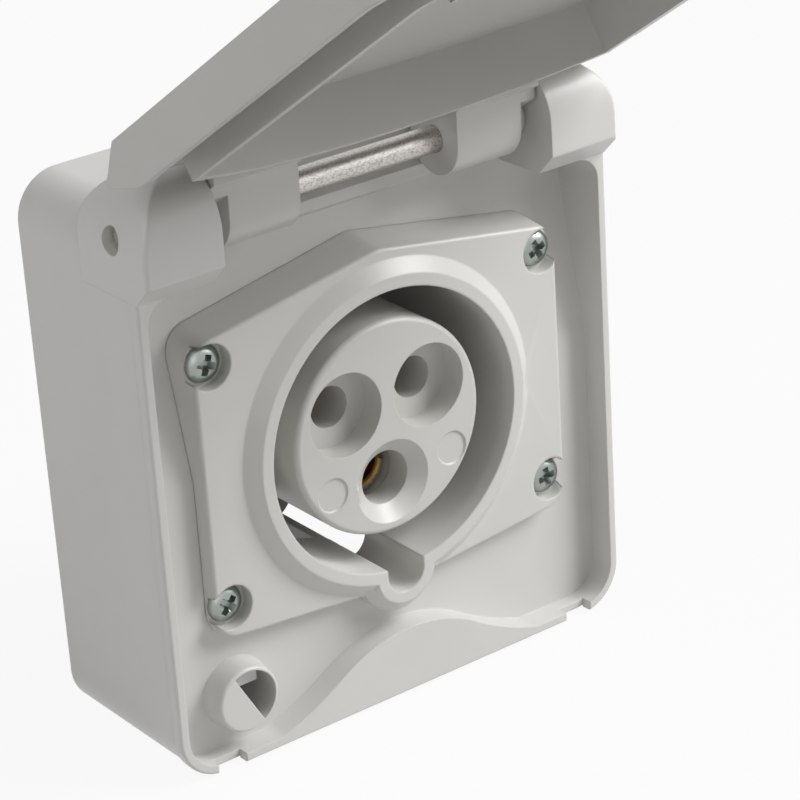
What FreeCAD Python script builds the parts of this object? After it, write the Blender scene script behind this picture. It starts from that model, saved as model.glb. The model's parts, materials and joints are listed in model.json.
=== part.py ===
import FreeCAD, Part
import math
import os

os.makedirs("parts", exist_ok=True)

# Outdoor socket outlet with a hinged weatherproof lid, in millimetres.
# X runs to the right, -Y towards the user and +Z up. The origin is where the
# socket's axis meets the wall plane on which the housing's rear edge lies.

# Plug interface
opening_radius = 23.0
contact_circle_radius = 9.15
line_pin_radius = 2.5
earth_pin_radius = 3.5
pin_bore_clearance = 0.05
keyway_radius = 3.5
keyway_reach = 27.4
groove_depth = 36.0

# Housing
face_stand_off = 30.0
housing_half_width = 43.4
housing_top = 45.0
housing_bottom = -45.2
housing_corner = 7.5
recess_corner = 4.0
rim_rise = 1.54
rim_thickness = 1.5
rim_bead = 0.3
rim_bead_depth = 2.0
wall = 2.2
floor_sink = 2.85
floor_thickness = 2.2
floor_crease = 1.3
floor_slope = 0.189
floor_opening_clearance = 0.6
keyway_hole_depth = 8.0
rim_edge_round = 0.45
notch_depth = 2.0
notch_side = 6.2
notch_width = 5.2
notch_height = 4.0
tongue_side = 13.2
tongue_apex = -34.1
tongue_crown_radius = 24.5
tongue_foot_radius = 45.0
tongue_crown_angle = 33.0
fixing_side = 6.9
fixing_spacing_z = 73.0
fixing_pilot_radius = 1.6
fixing_pilot_depth = 14.0
fixing_post_radius = 5.0
rear_seal_height = 1.0
rear_seal_groove = 0.8

# Hinge
hinge_depth = 3.9
hinge_height = 41.9
pin_radius = 2.1
pin_clearance = 0.05
pin_recess = 1.6
pin_chamfer = 0.4
lug_radius = 8.8
lug_width = 13.2
lug_corner = 10.0
lug_top_flat = 0.03
lug_foot = 33.4
lug_chamfer_top = 36.8
lug_edge_round = 0.8
barrel_radius = 5.75
barrel_inner = 14.5
barrel_gap = 0.5
barrel_notch = 2.8
barrel_hub_wall = 1.0
channel_clearance = 0.85
channel_end_radius = 9.1
channel_end_length = 5.0
ledge_depth = 8.0
ledge_foot = 34.2
ledge_run = 6.0
ledge_lean = 0.5
ledge_round = 0.4
beam_depth = 6.8
beam_drop = 3.2

# Catch in the housing floor
catch_side = 13.0
catch_z = -35.0
catch_foot_radius = 5.8
catch_face_radius = 5.3
catch_rise = 1.3
catch_edge = 0.5
catch_window_radius = 4.8
catch_skin = 1.3
catch_tube_depth = 7.0
catch_chord_angle = -60.9
catch_block_side = 2.8
catch_block_foot = 1.7
catch_block_sink = 2.0

# Socket plate
plate_side = 9.4
plate_shoulder = 23.5
plate_peak = 29.2
plate_foot = -24.2
plate_foot_slope = 0.09
plate_corner = 4.0
plate_least_corner = 0.4
plate_ridge_round = 6.0
plate_edge = 0.6
plate_skin = 2.0
plate_wall = 2.0
plate_draft = 0.10
plate_foot_gap = 0.1
gasket_thickness = 0.8
gasket_width = 2.7
gasket_clearance = 0.1
collar_rise = 1.83
collar_flat = 2.0
collar_foot = 27.3
sleeve_wall = 2.2
keyway_wall = 1.9
keyway_flare = 1.9
window_start = 15.0
window_end = 31.0
window_near_keyway = 13.0
window_far_from_keyway = 44.0
screw_side = 12.2
screw_spacing_z = 39.3
screw_height = 0.27
screw_well_radius = 3.6
screw_well_depth = 2.4
screw_foot_radius = 2.9
screw_foot_depth = 1.6
screw_foot_clearance = 0.2
screw_head_radius = 3.0
screw_head_height = 1.5
screw_shank_radius = 1.6
screw_hole_clearance = 0.2
screw_length = 13.0
screw_head_flat = 0.62
screw_head_dome = 0.6
slot_depth = 0.7
slot_arm = 0.36
slot_span = 0.6
slot_shallow = 0.6
screw_tip_radius = 0.3
screw_post_radius = 4.3
screw_post_length = 11.0

# Contact carrier and its contacts
carrier_radius = 17.5
carrier_sink = 0.14
carrier_edge = 0.9
carrier_flange = 3.0
carrier_barrier_length = 14.0
carrier_barrier_thickness = 1.8
line_well_radius = 6.75
line_well_depth = 4.5
line_hole_radius = 3.4
earth_cone_radius = 6.85
earth_cone_depth = 2.1
earth_hole_radius = 4.4
mark_radius = 3.2
mark_depth = 0.25
mark_circle_radius = 13.6
mark_angles = (225.0, 335.0)
tube_wall = 0.85
tube_length = 19.0
line_tube_start = 12.0
earth_tube_start = 7.0
tube_slot = 0.7
tube_slot_length = 12.0
chamber_clearance = 0.45
chamber_lead = 0.3
spring_wall = 0.45
spring_length = 4.0
spring_place = 2.0
spring_gap = 1.2
terminal_width = 8.4
terminal_length = 12.0
terminal_gap = 0.5
wire_bore_radius = 2.1
wire_bore_depth = 9.5
terminal_screw_radius = 1.75
terminal_screw_depth = 4.275
terminal_screw_rise = 0.7
terminal_screw_gap = 0.1
terminal_slot_width = 0.6
ear_reach = 4.4
ear_radius = 3.8
ear_length = 9.0
carrier_screw_length = 10.0
carrier_screw_turn = 30.0

# Lid, measured in its closed place
lid_open_angle = 123.7
lid_gap = 0.3
lid_wall = 1.2
lid_skin = 1.4
lid_rim_depth = 2.9
lid_edge_depth = 10.6
lid_crown = 1.5
lid_corner = 9.0
lid_nose_drop = 7.4
lid_nose_depth = 5.7
lid_nose_run = 16.2
lid_nose_round = 0.4
lid_shoulder_round = 9.0
lid_shoulder_lag = 0.9
lid_flank_round = 3.0
lid_end_wall = 1.2
lid_shoulder_depth = 10.0
lid_edge_round = 2.2
skirt_side = 6.9
skirt_wall = 1.2
skirt_gap = 0.3
skirt_corner = 4.0
skirt_top_drop = 7.9
skirt_top_radius = 78.0
skirt_tongue_gap = 1.25
hood_reach = 4.5
hood_thickness = 1.6
bump_x = 20.5
bump_half_width = 2.5
bump_length = 20.0
bump_height = 1.0

# Latch on the lid
latch_chord_gap = 0.35
latch_shift = 1.2
latch_stem_radius = 1.0
latch_stem_grip = 6.0
latch_stem_clearance = 0.05
latch_stem_end_gap = 0.3
latch_finger_length = 3.0
latch_finger_thickness = 1.5
latch_finger_gap = 0.5
latch_spindle_radius = 2.8
latch_spindle_gap = 0.5
latch_bore_clearance = 0.06
latch_boss_radius = 5.2
latch_knob_radius = 7.5
latch_knob_rise = 2.2
latch_knob_edge = 0.8
latch_bar_rise = 3.6
latch_bar_half_width = 1.9
latch_bar_span = 0.86
latch_bar_edge = 0.6
latch_seat_gap = 0.3
latch_ring_section = 0.7
latch_clip_thickness = 0.5
latch_clip_groove = 0.5
latch_clip_width = 1.6
latch_clip_gap = 2.4

# Places that follow from the sizes above
notch_outer = housing_half_width - notch_side
notch_inner = notch_outer - notch_width
tongue_half_width = housing_half_width - tongue_side
fixing_spacing_x = 2 * (housing_half_width - fixing_side)
lug_inner = housing_half_width - lug_width
channel_end_inner = lug_inner - channel_end_length
catch_x = catch_side - housing_half_width
plate_half_width = housing_half_width - plate_side
screw_spacing_x = 2 * (housing_half_width - screw_side)
skirt_inner = housing_half_width - skirt_side
face_y = -face_stand_off
rim_y = face_y - rim_rise
floor_y = face_y + floor_sink
hinge_y = face_y + hinge_depth
collar_y = face_y - collar_rise
groove_end_y = face_y + groove_depth
sleeve_outer = opening_radius + sleeve_wall
ear_x = sleeve_outer + ear_reach
keyway_centre = -(keyway_reach - keyway_radius)
pin_bore = pin_radius + pin_clearance
barrel_outer = lug_inner - barrel_gap
lid_half_width = housing_half_width + lid_gap + lid_wall
lid_foot = housing_bottom - lid_gap - lid_wall
channel_radius = barrel_radius + channel_clearance
beam_back_y = face_y + ledge_depth + beam_depth
reach = 200.0

screw_places = {
    "top_left": (-screw_spacing_x / 2, screw_height + screw_spacing_z / 2),
    "top_right": (screw_spacing_x / 2, screw_height + screw_spacing_z / 2),
    "bottom_left": (-screw_spacing_x / 2, screw_height - screw_spacing_z / 2),
    "bottom_right": (screw_spacing_x / 2, screw_height - screw_spacing_z / 2),
}
screw_turns = {"top_left": 20.0, "top_right": 65.0, "bottom_left": 40.0, "bottom_right": 80.0}
contact_angles = {"line": 30.0, "neutral": 150.0, "earth": 270.0}
barrier_angles = (90.0, 210.0, 330.0)


def vec(x, y, z):
    """Point from its three coordinates."""
    return FreeCAD.Vector(x, y, z)


def corner_wire(points, place):
    """Closed wire through (u, v, radius) corners; place turns (u, v) into a point."""
    count = len(points)
    edges = []
    ends = []
    for i in range(count):
        u, v, radius = points[i]
        pu, pv, _ = points[i - 1]
        nu, nv, _ = points[(i + 1) % count]
        a = FreeCAD.Vector(pu - u, pv - v, 0).normalize()
        b = FreeCAD.Vector(nu - u, nv - v, 0).normalize()
        corner = FreeCAD.Vector(u, v, 0)
        if radius <= 0:
            ends.append((corner, None, corner))
            continue
        half = a.getAngle(b) / 2
        run = radius / math.tan(half)
        bisector = (a + b).normalize()
        middle = corner + bisector * (radius / math.sin(half) - radius)
        ends.append((corner + a * run, middle, corner + b * run))
    for i in range(count):
        start, middle, end = ends[i]
        if middle is not None:
            edges.append(Part.Arc(place(start), place(middle), place(end)).toShape())
        following = ends[(i + 1) % count][0]
        if (following - end).Length > 1e-6:
            edges.append(Part.LineSegment(place(end), place(following)).toShape())
    return Part.Wire(edges)


def front_wire(points, y):
    """Closed wire in a plane that faces the user."""
    return corner_wire(points, lambda p: vec(p.x, y, p.y))


def front_prism(points, y0, y1):
    """Solid with an outline of (x, z, radius) corners, from depth y0 to y1."""
    return Part.Face(front_wire(points, y0)).extrude(vec(0, y1 - y0, 0))


def side_prism(points, x0, x1):
    """Solid with an outline of (y, z, radius) corners, from x0 to x1."""
    wire = corner_wire(points, lambda p: vec(x0, p.x, p.y))
    return Part.Face(wire).extrude(vec(x1 - x0, 0, 0))


def turned(profile, x, z):
    """Solid of revolution about an axis along Y, from (radius, y) points."""
    points = [vec(x + r, y, z) for r, y in profile]
    wire = Part.makePolygon(points + [points[0]])
    return Part.Face(wire).revolve(vec(x, 0, z), vec(0, 1, 0), 360)


def post(radius, y0, y1, x, z):
    """Round post along the depth, between y0 and y1."""
    return Part.makeCylinder(radius, y1 - y0, vec(x, y0, z), vec(0, 1, 0))


def cone(r0, r1, y0, y1, x, z):
    """Cone along the depth, from radius r0 at y0 to r1 at y1."""
    return Part.makeCone(r0, r1, y1 - y0, vec(x, y0, z), vec(0, 1, 0))


def bar_x(radius, x0, x1, y, z):
    """Round bar along the width, between x0 and x1."""
    return Part.makeCylinder(radius, x1 - x0, vec(x0, y, z), vec(1, 0, 0))


def block(x0, x1, y0, y1, z0, z1):
    """Box between three pairs of limits."""
    return Part.makeBox(x1 - x0, y1 - y0, z1 - z0, vec(x0, y0, z0))


def mirrored(shape):
    """Copy on the other side of the middle plane."""
    return shape.mirror(vec(0, 0, 0), vec(1, 0, 0))


def both_sides(shape):
    """Shape together with its mirrored copy."""
    return shape.fuse(mirrored(shape))


def polar(radius, angle):
    """Point as x and z, at a radius and an angle in degrees."""
    a = math.radians(angle)
    return radius * math.cos(a), radius * math.sin(a)


def rounded(shape, radius, chosen):
    """Shape with the edges that chosen(edge) accepts rounded."""
    edges = [e for e in shape.Edges if chosen(e)]
    return shape.makeFillet(radius, edges)


def box_outline(half_width, top, bottom, top_round, bottom_round):
    """Corners of a rectangle, each with its rounding."""
    return [
        (half_width, bottom, bottom_round),
        (half_width, top, top_round),
        (-half_width, top, top_round),
        (-half_width, bottom, bottom_round),
    ]


def in_plane(edge, y):
    """Whether an edge lies at one depth."""
    box = edge.BoundBox
    return abs(box.YMin - y) < 1e-4 and abs(box.YMax - y) < 1e-4


# Floor of the recess: flat below the crease, leaning back above it.
def floor_line(z, offset):
    """Depth of the folded floor at one height."""
    rise = max(0.0, z - floor_crease)
    return floor_y + offset + floor_slope * rise


def behind_floor(offset, top):
    """Everything behind the folded floor surface, shifted back by offset."""
    lean = math.hypot(1.0, floor_slope)
    back = reach
    points = [
        (floor_line(-reach, offset), -reach, 0),
        (floor_line(floor_crease, offset), floor_crease, 0),
        (floor_line(top, offset * lean), top, 0),
        (back, top, 0),
        (back, -reach, 0),
    ]
    return side_prism(points, -reach, reach)


def screw_seat_y(z):
    """Depth of the round seat that takes a screw foot of the socket plate."""
    return floor_line(z, 0) + screw_foot_depth


def tongue_profile(lift, side):
    """Bell outline of the raised tongue; lift moves its edge outwards."""
    crown = tongue_crown_radius + lift
    foot = tongue_foot_radius - lift
    span = tongue_crown_radius + tongue_foot_radius
    centre_z = tongue_apex - tongue_crown_radius
    turn = math.radians(tongue_crown_angle)
    foot_x = span * math.sin(turn)
    foot_z = centre_z + span * math.cos(turn)
    last = math.asin((foot_x - tongue_half_width) / foot)

    def on_crown(angle):
        return side * crown * math.sin(angle), centre_z + crown * math.cos(angle)

    def on_foot(angle):
        return side * (foot_x - foot * math.sin(angle)), foot_z - foot * math.cos(angle)

    return [on_crown(0), on_crown(turn / 2), on_crown(turn), on_foot((turn + last) / 2), on_foot(last)]


def tongue_prism(lift, bottom, y0, y1):
    """Solid below the bell outline, down to bottom, between two depths."""
    right = [vec(x, y0, z) for x, z in tongue_profile(lift, 1)]
    left = [vec(x, y0, z) for x, z in tongue_profile(lift, -1)]
    corners = [
        right[4],
        vec(tongue_half_width, y0, bottom),
        vec(-tongue_half_width, y0, bottom),
        left[4],
    ]
    edges = [
        Part.Arc(right[0], right[1], right[2]).toShape(),
        Part.Arc(right[2], right[3], right[4]).toShape(),
        Part.Arc(left[4], left[3], left[2]).toShape(),
        Part.Arc(left[2], left[1], left[0]).toShape(),
    ]
    edges += [Part.LineSegment(a, b).toShape() for a, b in zip(corners, corners[1:])]
    wire = Part.Wire(Part.sortEdges(edges)[0])
    return Part.Face(wire).extrude(vec(0, y1 - y0, 0))


def hinge_lug():
    """Lug on the right: a nose round the hinge pin with a chamfered foot."""
    top_y = hinge_y
    front_y = hinge_y - lug_radius
    low = housing_top - wall
    back = math.sqrt(lug_radius ** 2 - (low - hinge_height) ** 2)
    profile = [
        Part.LineSegment(vec(lug_inner, rim_y, lug_foot), vec(lug_inner, front_y, lug_chamfer_top)),
        Part.LineSegment(vec(lug_inner, front_y, lug_chamfer_top), vec(lug_inner, front_y, hinge_height)),
    ]
    arc_mid = lug_radius * math.sqrt(0.5)
    profile.append(Part.Arc(
        vec(lug_inner, front_y, hinge_height),
        vec(lug_inner, top_y - arc_mid, hinge_height + arc_mid),
        vec(lug_inner, top_y, hinge_height + lug_radius)))
    end = vec(lug_inner, top_y + back, low)
    tilt = math.atan2(low - hinge_height, back)
    half = (math.pi / 2 + tilt) / 2
    mid = vec(lug_inner, top_y + lug_radius * math.cos(half), hinge_height + lug_radius * math.sin(half))
    profile.append(Part.Arc(vec(lug_inner, top_y, hinge_height + lug_radius), mid, end))
    low_back = vec(lug_inner, end.y, lug_foot)
    profile.append(Part.LineSegment(end, low_back))
    profile.append(Part.LineSegment(low_back, vec(lug_inner, rim_y, lug_foot)))
    wire = Part.Wire([p.toShape() for p in profile])
    length = housing_half_width - lug_inner
    nose = Part.Face(wire).extrude(vec(length, 0, 0))
    lug_top = hinge_height + lug_radius - lug_top_flat
    outline = [
        (lug_inner, lug_foot - 1, 0),
        (housing_half_width, lug_foot - 1, 0),
        (housing_half_width, lug_top, lug_corner),
        (lug_inner, lug_top, 0),
    ]
    return nose.common(front_prism(outline, front_y - 1, end.y + 1))


def lug_front_edge(edge):
    """Whether an edge bounds the lug's flat front."""
    return in_plane(edge, hinge_y - lug_radius) and edge.BoundBox.XMax > lug_inner + 0.01


def recess():
    """Hollow in front of the floor, within the rim and below the lugs."""
    half = housing_half_width - rim_thickness
    bottom = housing_bottom + rim_thickness
    outline = box_outline(half, lug_foot, bottom, recess_corner, housing_corner - rim_thickness)
    return front_prism(outline, rim_y - 1, 0).cut(behind_floor(0, lug_foot + 1))


def hinge_opening():
    """Clear space between the lugs, with the channel round the pin."""
    ledge_y = face_y + ledge_depth
    front = rim_y - lug_radius
    points = [
        (front, lug_foot - ledge_run, 0),
        (floor_line(lug_foot - ledge_run, 0), lug_foot - ledge_run, 0),
        (floor_line(ledge_foot, 0), ledge_foot, 0),
        (ledge_y, ledge_foot + ledge_lean, ledge_round),
        (ledge_y, reach, 0),
        (front, reach, 0),
    ]
    space = side_prism(points, -lug_inner, lug_inner)
    space = space.fuse(bar_x(channel_radius, -lug_inner, lug_inner, hinge_y, hinge_height))
    end = bar_x(channel_end_radius, channel_end_inner, lug_inner, hinge_y, hinge_height)
    return space.fuse(both_sides(end))


def rear_hollow():
    """Hollow behind the floor, less the beam below the hinge."""
    half = housing_half_width - rim_bead - wall
    top = housing_top - rim_bead - wall
    bottom = housing_bottom + rim_bead + wall
    inner_round = housing_corner - rim_bead - wall
    outline = box_outline(half, top, bottom, inner_round, inner_round)
    space = front_prism(outline, rim_y, reach)
    space = space.common(behind_floor(floor_thickness, reach / 2))
    beam = block(-reach, reach, -reach, beam_back_y, ledge_foot - beam_drop, reach)
    return space.cut(beam)


def catch_solid():
    """Raised round nose of the catch and the tube behind it."""
    foot_y = floor_y
    top_y = face_y - catch_rise
    nose = cone(catch_face_radius, catch_foot_radius, top_y, foot_y, catch_x, catch_z)
    nose = rounded(nose, catch_edge, lambda e: in_plane(e, top_y))
    return nose.fuse(post(catch_foot_radius, foot_y, foot_y + catch_tube_depth, catch_x, catch_z))


def catch_hollow():
    """Half-moon window through the catch's skin with a round space behind."""
    top_y = face_y - catch_rise
    skin_back = top_y + catch_skin
    end = floor_y + catch_tube_depth + 1
    hollow = post(catch_window_radius, skin_back, end, catch_x, catch_z)
    block_front = top_y + catch_block_sink
    stop = block(catch_x - catch_foot_radius, catch_x + catch_block_side, block_front, end,
                 catch_z + catch_block_foot, catch_z + catch_foot_radius)
    hollow = hollow.cut(stop)
    window = post(catch_window_radius, top_y - 1, skin_back + 0.01, catch_x, catch_z)
    keep = Part.makeBox(4 * catch_foot_radius, 2 * catch_tube_depth, 2 * catch_foot_radius,
                        vec(-2 * catch_foot_radius, top_y - 2, -2 * catch_foot_radius))
    keep.rotate(vec(0, 0, 0), vec(0, 1, 0), -catch_chord_angle)
    keep.translate(vec(catch_x, 0, catch_z))
    return hollow.fuse(window.cut(keep))


def fixing_places():
    """The four rear fixing holes, as x and z."""
    x = fixing_spacing_x / 2
    z = fixing_spacing_z / 2
    return [(-x, -z), (x, -z), (-x, z), (x, z)]


def housing_moulding():
    """Shell with lugs, tongue, catch and posts, before its holes."""
    outer = box_outline(housing_half_width, housing_top, housing_bottom, housing_corner, housing_corner)
    body_round = housing_corner - rim_bead
    body = box_outline(housing_half_width - rim_bead, housing_top - rim_bead,
                       housing_bottom + rim_bead, body_round, body_round)
    shell = front_prism(body, rim_y + rim_bead_depth / 2, 0)
    bead = front_prism(outer, rim_y, rim_y + rim_bead_depth)
    bead = rounded(bead, rim_edge_round, lambda e: in_plane(e, rim_y))
    lug = rounded(hinge_lug(), lug_edge_round, lug_front_edge)
    solid = shell.fuse(bead).fuse(both_sides(lug))
    solid = solid.cut(recess()).cut(hinge_opening()).cut(rear_hollow())

    tongue_foot = housing_bottom + rim_edge_round
    tongue = tongue_prism(0, tongue_foot - tongue_foot_radius, rim_y, floor_y + 1)
    solid = solid.fuse(tongue.common(block(-reach, reach, rim_y, 0, tongue_foot, reach)))
    solid = solid.fuse(catch_solid())
    for x, z in screw_places.values():
        seat = screw_seat_y(z)
        pillar = post(screw_post_radius, face_y, seat + screw_post_length, x, z)
        solid = solid.fuse(pillar.common(behind_floor(floor_thickness / 2, reach)))
    inside = front_prism(body, rim_y, 0)
    for x, z in fixing_places():
        front = floor_line(z, floor_thickness / 2)
        corner = post(fixing_post_radius, front, 0, x, z)
        solid = solid.fuse(corner.common(inside))
    return solid


def housing():
    """Whole housing with the plate's openings and all holes."""
    solid = housing_moulding()
    hole_radius = sleeve_outer + floor_opening_clearance
    solid = solid.cut(post(hole_radius, face_y, 0, 0, 0))
    key_width = keyway_radius + keyway_wall + floor_opening_clearance
    solid = solid.cut(post(key_width, face_y, floor_y + keyway_hole_depth, 0, keyway_centre))
    for x, z in screw_places.values():
        seat = screw_seat_y(z)
        solid = solid.cut(post(screw_foot_radius + screw_foot_clearance, face_y, seat, x, z))
        solid = solid.cut(post(screw_shank_radius, face_y, seat + screw_post_length + 1, x, z))
    for x, z in fixing_places():
        solid = solid.cut(post(fixing_pilot_radius, -fixing_pilot_depth, 1, x, z))
    solid = solid.cut(catch_hollow())
    notch = block(notch_inner, notch_outer, rim_y - 1, rim_y + notch_depth,
                  -reach, housing_bottom + notch_height)
    solid = solid.cut(both_sides(notch))
    solid = solid.cut(bar_x(pin_bore, -reach, reach, hinge_y, hinge_height))
    return solid.cut(rear_seal_track(0)).removeSplitter()


def rear_seal_track(clearance):
    """Square track in the middle of the housing's rear edge."""
    near = (wall - rear_seal_groove) / 2 - clearance
    far = near + rear_seal_groove + 2 * clearance
    base = housing_half_width - rim_bead
    top = housing_top - rim_bead
    bottom = housing_bottom + rim_bead
    corner = housing_corner - rim_bead
    outline = box_outline(base - near, top - near, bottom + near, corner - near, corner - near)
    inner = box_outline(base - far, top - far, bottom + far, corner - far, corner - far)
    return front_prism(outline, -rear_seal_height, 1).cut(front_prism(inner, -reach, reach))


def rear_seal():
    """Seal in the track, flush with the housing's rear edge."""
    return rear_seal_track(0).common(block(-reach, reach, -reach, 0, -reach, reach))


def plate_outline(inset):
    """Six-cornered outline of the socket plate, drawn in by inset."""
    side = plate_half_width - inset
    foot_middle = plate_foot - plate_foot_slope * plate_half_width
    corner = max(plate_corner - inset, plate_least_corner)
    return [
        (side, plate_foot + inset, corner),
        (side, plate_shoulder - inset, corner),
        (0.0, plate_peak - inset, plate_ridge_round),
        (-side, plate_shoulder - inset, corner),
        (-side, plate_foot + inset, corner),
        (0.0, foot_middle + inset, plate_ridge_round),
    ]


def plate_block(inset, y0, y1):
    """Plate outline with its sides leaning out towards the floor."""
    near = plate_outline(inset - plate_draft * (y0 - face_y))
    far = plate_outline(inset - plate_draft * (y1 - face_y))
    return Part.makeLoft([front_wire(near, y0), front_wire(far, y1)], True, True)


def on_floor(offset):
    """Everything behind the floor's surface, moved by offset."""
    return behind_floor(offset, reach / 2)


def keyway_shape(clearance, y0, y1):
    """Round-bottomed rib or channel at the foot of the plug opening."""
    width = keyway_radius + clearance
    rib = post(width, y0, y1, 0, keyway_centre)
    return rib.fuse(block(-width, width, y0, y1, keyway_centre, 0))


def sleeve_windows():
    """Two openings in the sleeve's lower wall, each side of the keyway."""
    y0 = face_y + window_start
    y1 = face_y + window_end
    ring = post(sleeve_outer + 1, y0, y1, 0, 0).cut(post(opening_radius - 1, y0, y1, 0, 0))
    first = math.radians(-90 + window_near_keyway)
    last = math.radians(-90 + window_far_from_keyway)
    far = 2 * sleeve_outer
    a = vec(far * math.cos(first), y0, far * math.sin(first))
    b = vec(far * math.cos(last), y0, far * math.sin(last))
    wedge = Part.Face(Part.makePolygon([vec(0, y0, 0), a, b, vec(0, y0, 0)]))
    return both_sides(ring.common(wedge.extrude(vec(0, y1 - y0, 0))))


def socket_plate():
    """Plate, collar, sleeve and keyway as one moulding."""
    deep = floor_line(plate_peak, 0) + 1
    cap = plate_block(0, face_y, deep)
    cap = rounded(cap, plate_edge, lambda e: in_plane(e, face_y))
    cavity = plate_block(plate_wall, face_y + plate_skin, deep + 1)
    solid = cap.cut(cavity)
    for x, z in screw_places.values():
        solid = solid.fuse(post(screw_post_radius, face_y + plate_skin / 2, deep, x, z).common(cap))
    solid = solid.fuse(seal_footprint(0, face_y + plate_skin / 2, deep))
    solid = solid.cut(on_floor(-plate_foot_gap))
    for x, z in screw_places.values():
        solid = solid.fuse(post(screw_foot_radius, face_y + screw_well_depth, screw_seat_y(z), x, z))

    collar = turned([(opening_radius - 3, face_y + 1), (opening_radius - 3, collar_y),
                     (opening_radius + collar_flat, collar_y), (collar_foot, face_y),
                     (collar_foot, face_y + 1)], 0, 0)
    key_top = keyway_radius + keyway_wall
    key_bump = cone(key_top, key_top + keyway_flare, collar_y, face_y, 0, keyway_centre)
    key_tube = post(key_top + keyway_flare, face_y, floor_y - plate_foot_gap, 0, keyway_centre)
    solid = solid.fuse(collar).fuse(key_bump).fuse(key_tube)
    solid = solid.cut(seal_footprint(0, face_y, deep + 1).common(on_floor(-gasket_thickness)))
    solid = solid.fuse(post(sleeve_outer, face_y + 0.5, groove_end_y, 0, 0))
    solid = solid.fuse(post(key_top, face_y + 0.5, groove_end_y, 0, keyway_centre))
    ear = post(ear_radius, groove_end_y - ear_length, groove_end_y, ear_x, 0)
    arm = block(0, ear_x, groove_end_y - ear_length, groove_end_y, -ear_radius, ear_radius)
    solid = solid.fuse(both_sides(ear.fuse(arm)))

    solid = solid.cut(post(opening_radius, collar_y - 1, groove_end_y + 1, 0, 0))
    solid = solid.cut(keyway_shape(0, collar_y - 1, groove_end_y + 1))
    solid = solid.cut(sleeve_windows())
    for x, z in screw_places.values():
        solid = solid.cut(post(screw_well_radius, face_y - 1, face_y + screw_well_depth, x, z))
        through = screw_shank_radius + screw_hole_clearance
        solid = solid.cut(post(through, face_y, deep + 1, x, z))
    pilot = post(screw_shank_radius, groove_end_y - ear_length + 1, groove_end_y + 1, ear_x, 0)
    return solid.cut(both_sides(pilot)).removeSplitter()


def seal_footprint(clearance, y0, y1):
    """Band round the sleeve and the keyway on which the plate seals."""
    ring_in = sleeve_outer + floor_opening_clearance + clearance
    ring_out = ring_in + gasket_width - 2 * clearance
    key_in = keyway_radius + keyway_wall + floor_opening_clearance + clearance
    key_out = keyway_radius + keyway_wall + keyway_flare - plate_wall / 2 - clearance
    band = post(ring_out, y0, y1, 0, 0).common(plate_block(plate_wall / 2 + clearance, face_y, y1))
    band = band.fuse(post(key_out, y0, y1, 0, keyway_centre))
    return band.cut(post(ring_in, y0 - 1, y1 + 1, 0, 0)).cut(post(key_in, y0 - 1, y1 + 1, 0, keyway_centre))


def plate_gasket():
    """Flat seal between the plate's sealing band and the folded floor."""
    deep = floor_line(plate_peak, 0) + 1
    band = seal_footprint(gasket_clearance, face_y, deep)
    return band.common(on_floor(-gasket_thickness)).cut(on_floor(0)).removeSplitter()


def cross_slot(y0, depth, x, z, size):
    """Cross recess with one long arm, as in a combined-drive screw."""
    arm = size * slot_arm
    span = size * slot_span
    long_arm = block(-size, size, y0 - 1, y0 + depth * slot_shallow, -arm / 3, arm / 3)
    cross = block(-span, span, y0 - 1, y0 + depth, -arm / 2, arm / 2)
    upright = block(-arm / 2, arm / 2, y0 - 1, y0 + depth, -span, span)
    slot = long_arm.fuse(cross).fuse(upright)
    slot.translate(vec(x, 0, z))
    return slot


def panhead_screw(x, z, head_y, head_radius, head_height, shank_radius, length, turn):
    """Screw with a domed head at head_y, driven towards +Y."""
    dome = turned([(0, head_y), (head_radius * screw_head_flat, head_y),
                   (head_radius, head_y + head_height * screw_head_dome),
                   (head_radius, head_y + head_height), (0, head_y + head_height)], x, z)
    shank_end = head_y + head_height + length
    shank = post(shank_radius, head_y + head_height, shank_end - shank_radius, x, z)
    tip = cone(shank_radius, screw_tip_radius, shank_end - shank_radius, shank_end, x, z)
    slot = cross_slot(head_y, head_height * slot_depth, x, z, head_radius)
    slot.rotate(vec(x, head_y, z), vec(0, 1, 0), turn)
    return dome.fuse(shank).fuse(tip).cut(slot)


def plate_screw(name):
    """Screw that holds one corner of the socket plate."""
    x, z = screw_places[name]
    head_y = face_y + screw_well_depth - screw_head_height
    return panhead_screw(x, z, head_y, screw_head_radius, screw_head_height,
                         screw_shank_radius, screw_length, screw_turns[name])


def contact_sizes(name):
    """Pin bore radius, tube start and hole radius of one contact."""
    if name == "earth":
        return earth_pin_radius + pin_bore_clearance, face_y + earth_tube_start, earth_hole_radius
    return line_pin_radius + pin_bore_clearance, face_y + line_tube_start, line_hole_radius


def chamber(name):
    """Hollow in the carrier that holds one contact tube and its terminal."""
    x, z = polar(contact_circle_radius, contact_angles[name])
    bore, start, hole = contact_sizes(name)
    tube = bore + tube_wall + spring_wall + chamber_clearance
    front = face_y - 1
    space = post(hole, front, start, x, z)
    space = space.fuse(post(tube, start - chamber_lead, groove_end_y + carrier_flange + 1, x, z))
    if name == "earth":
        cone_top = face_y + carrier_sink
        cone_foot = cone_top + earth_cone_depth
        return space.fuse(cone(earth_cone_radius, earth_hole_radius, cone_top, cone_foot, x, z))
    return space.fuse(post(line_well_radius, front, face_y + line_well_depth, x, z))


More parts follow.
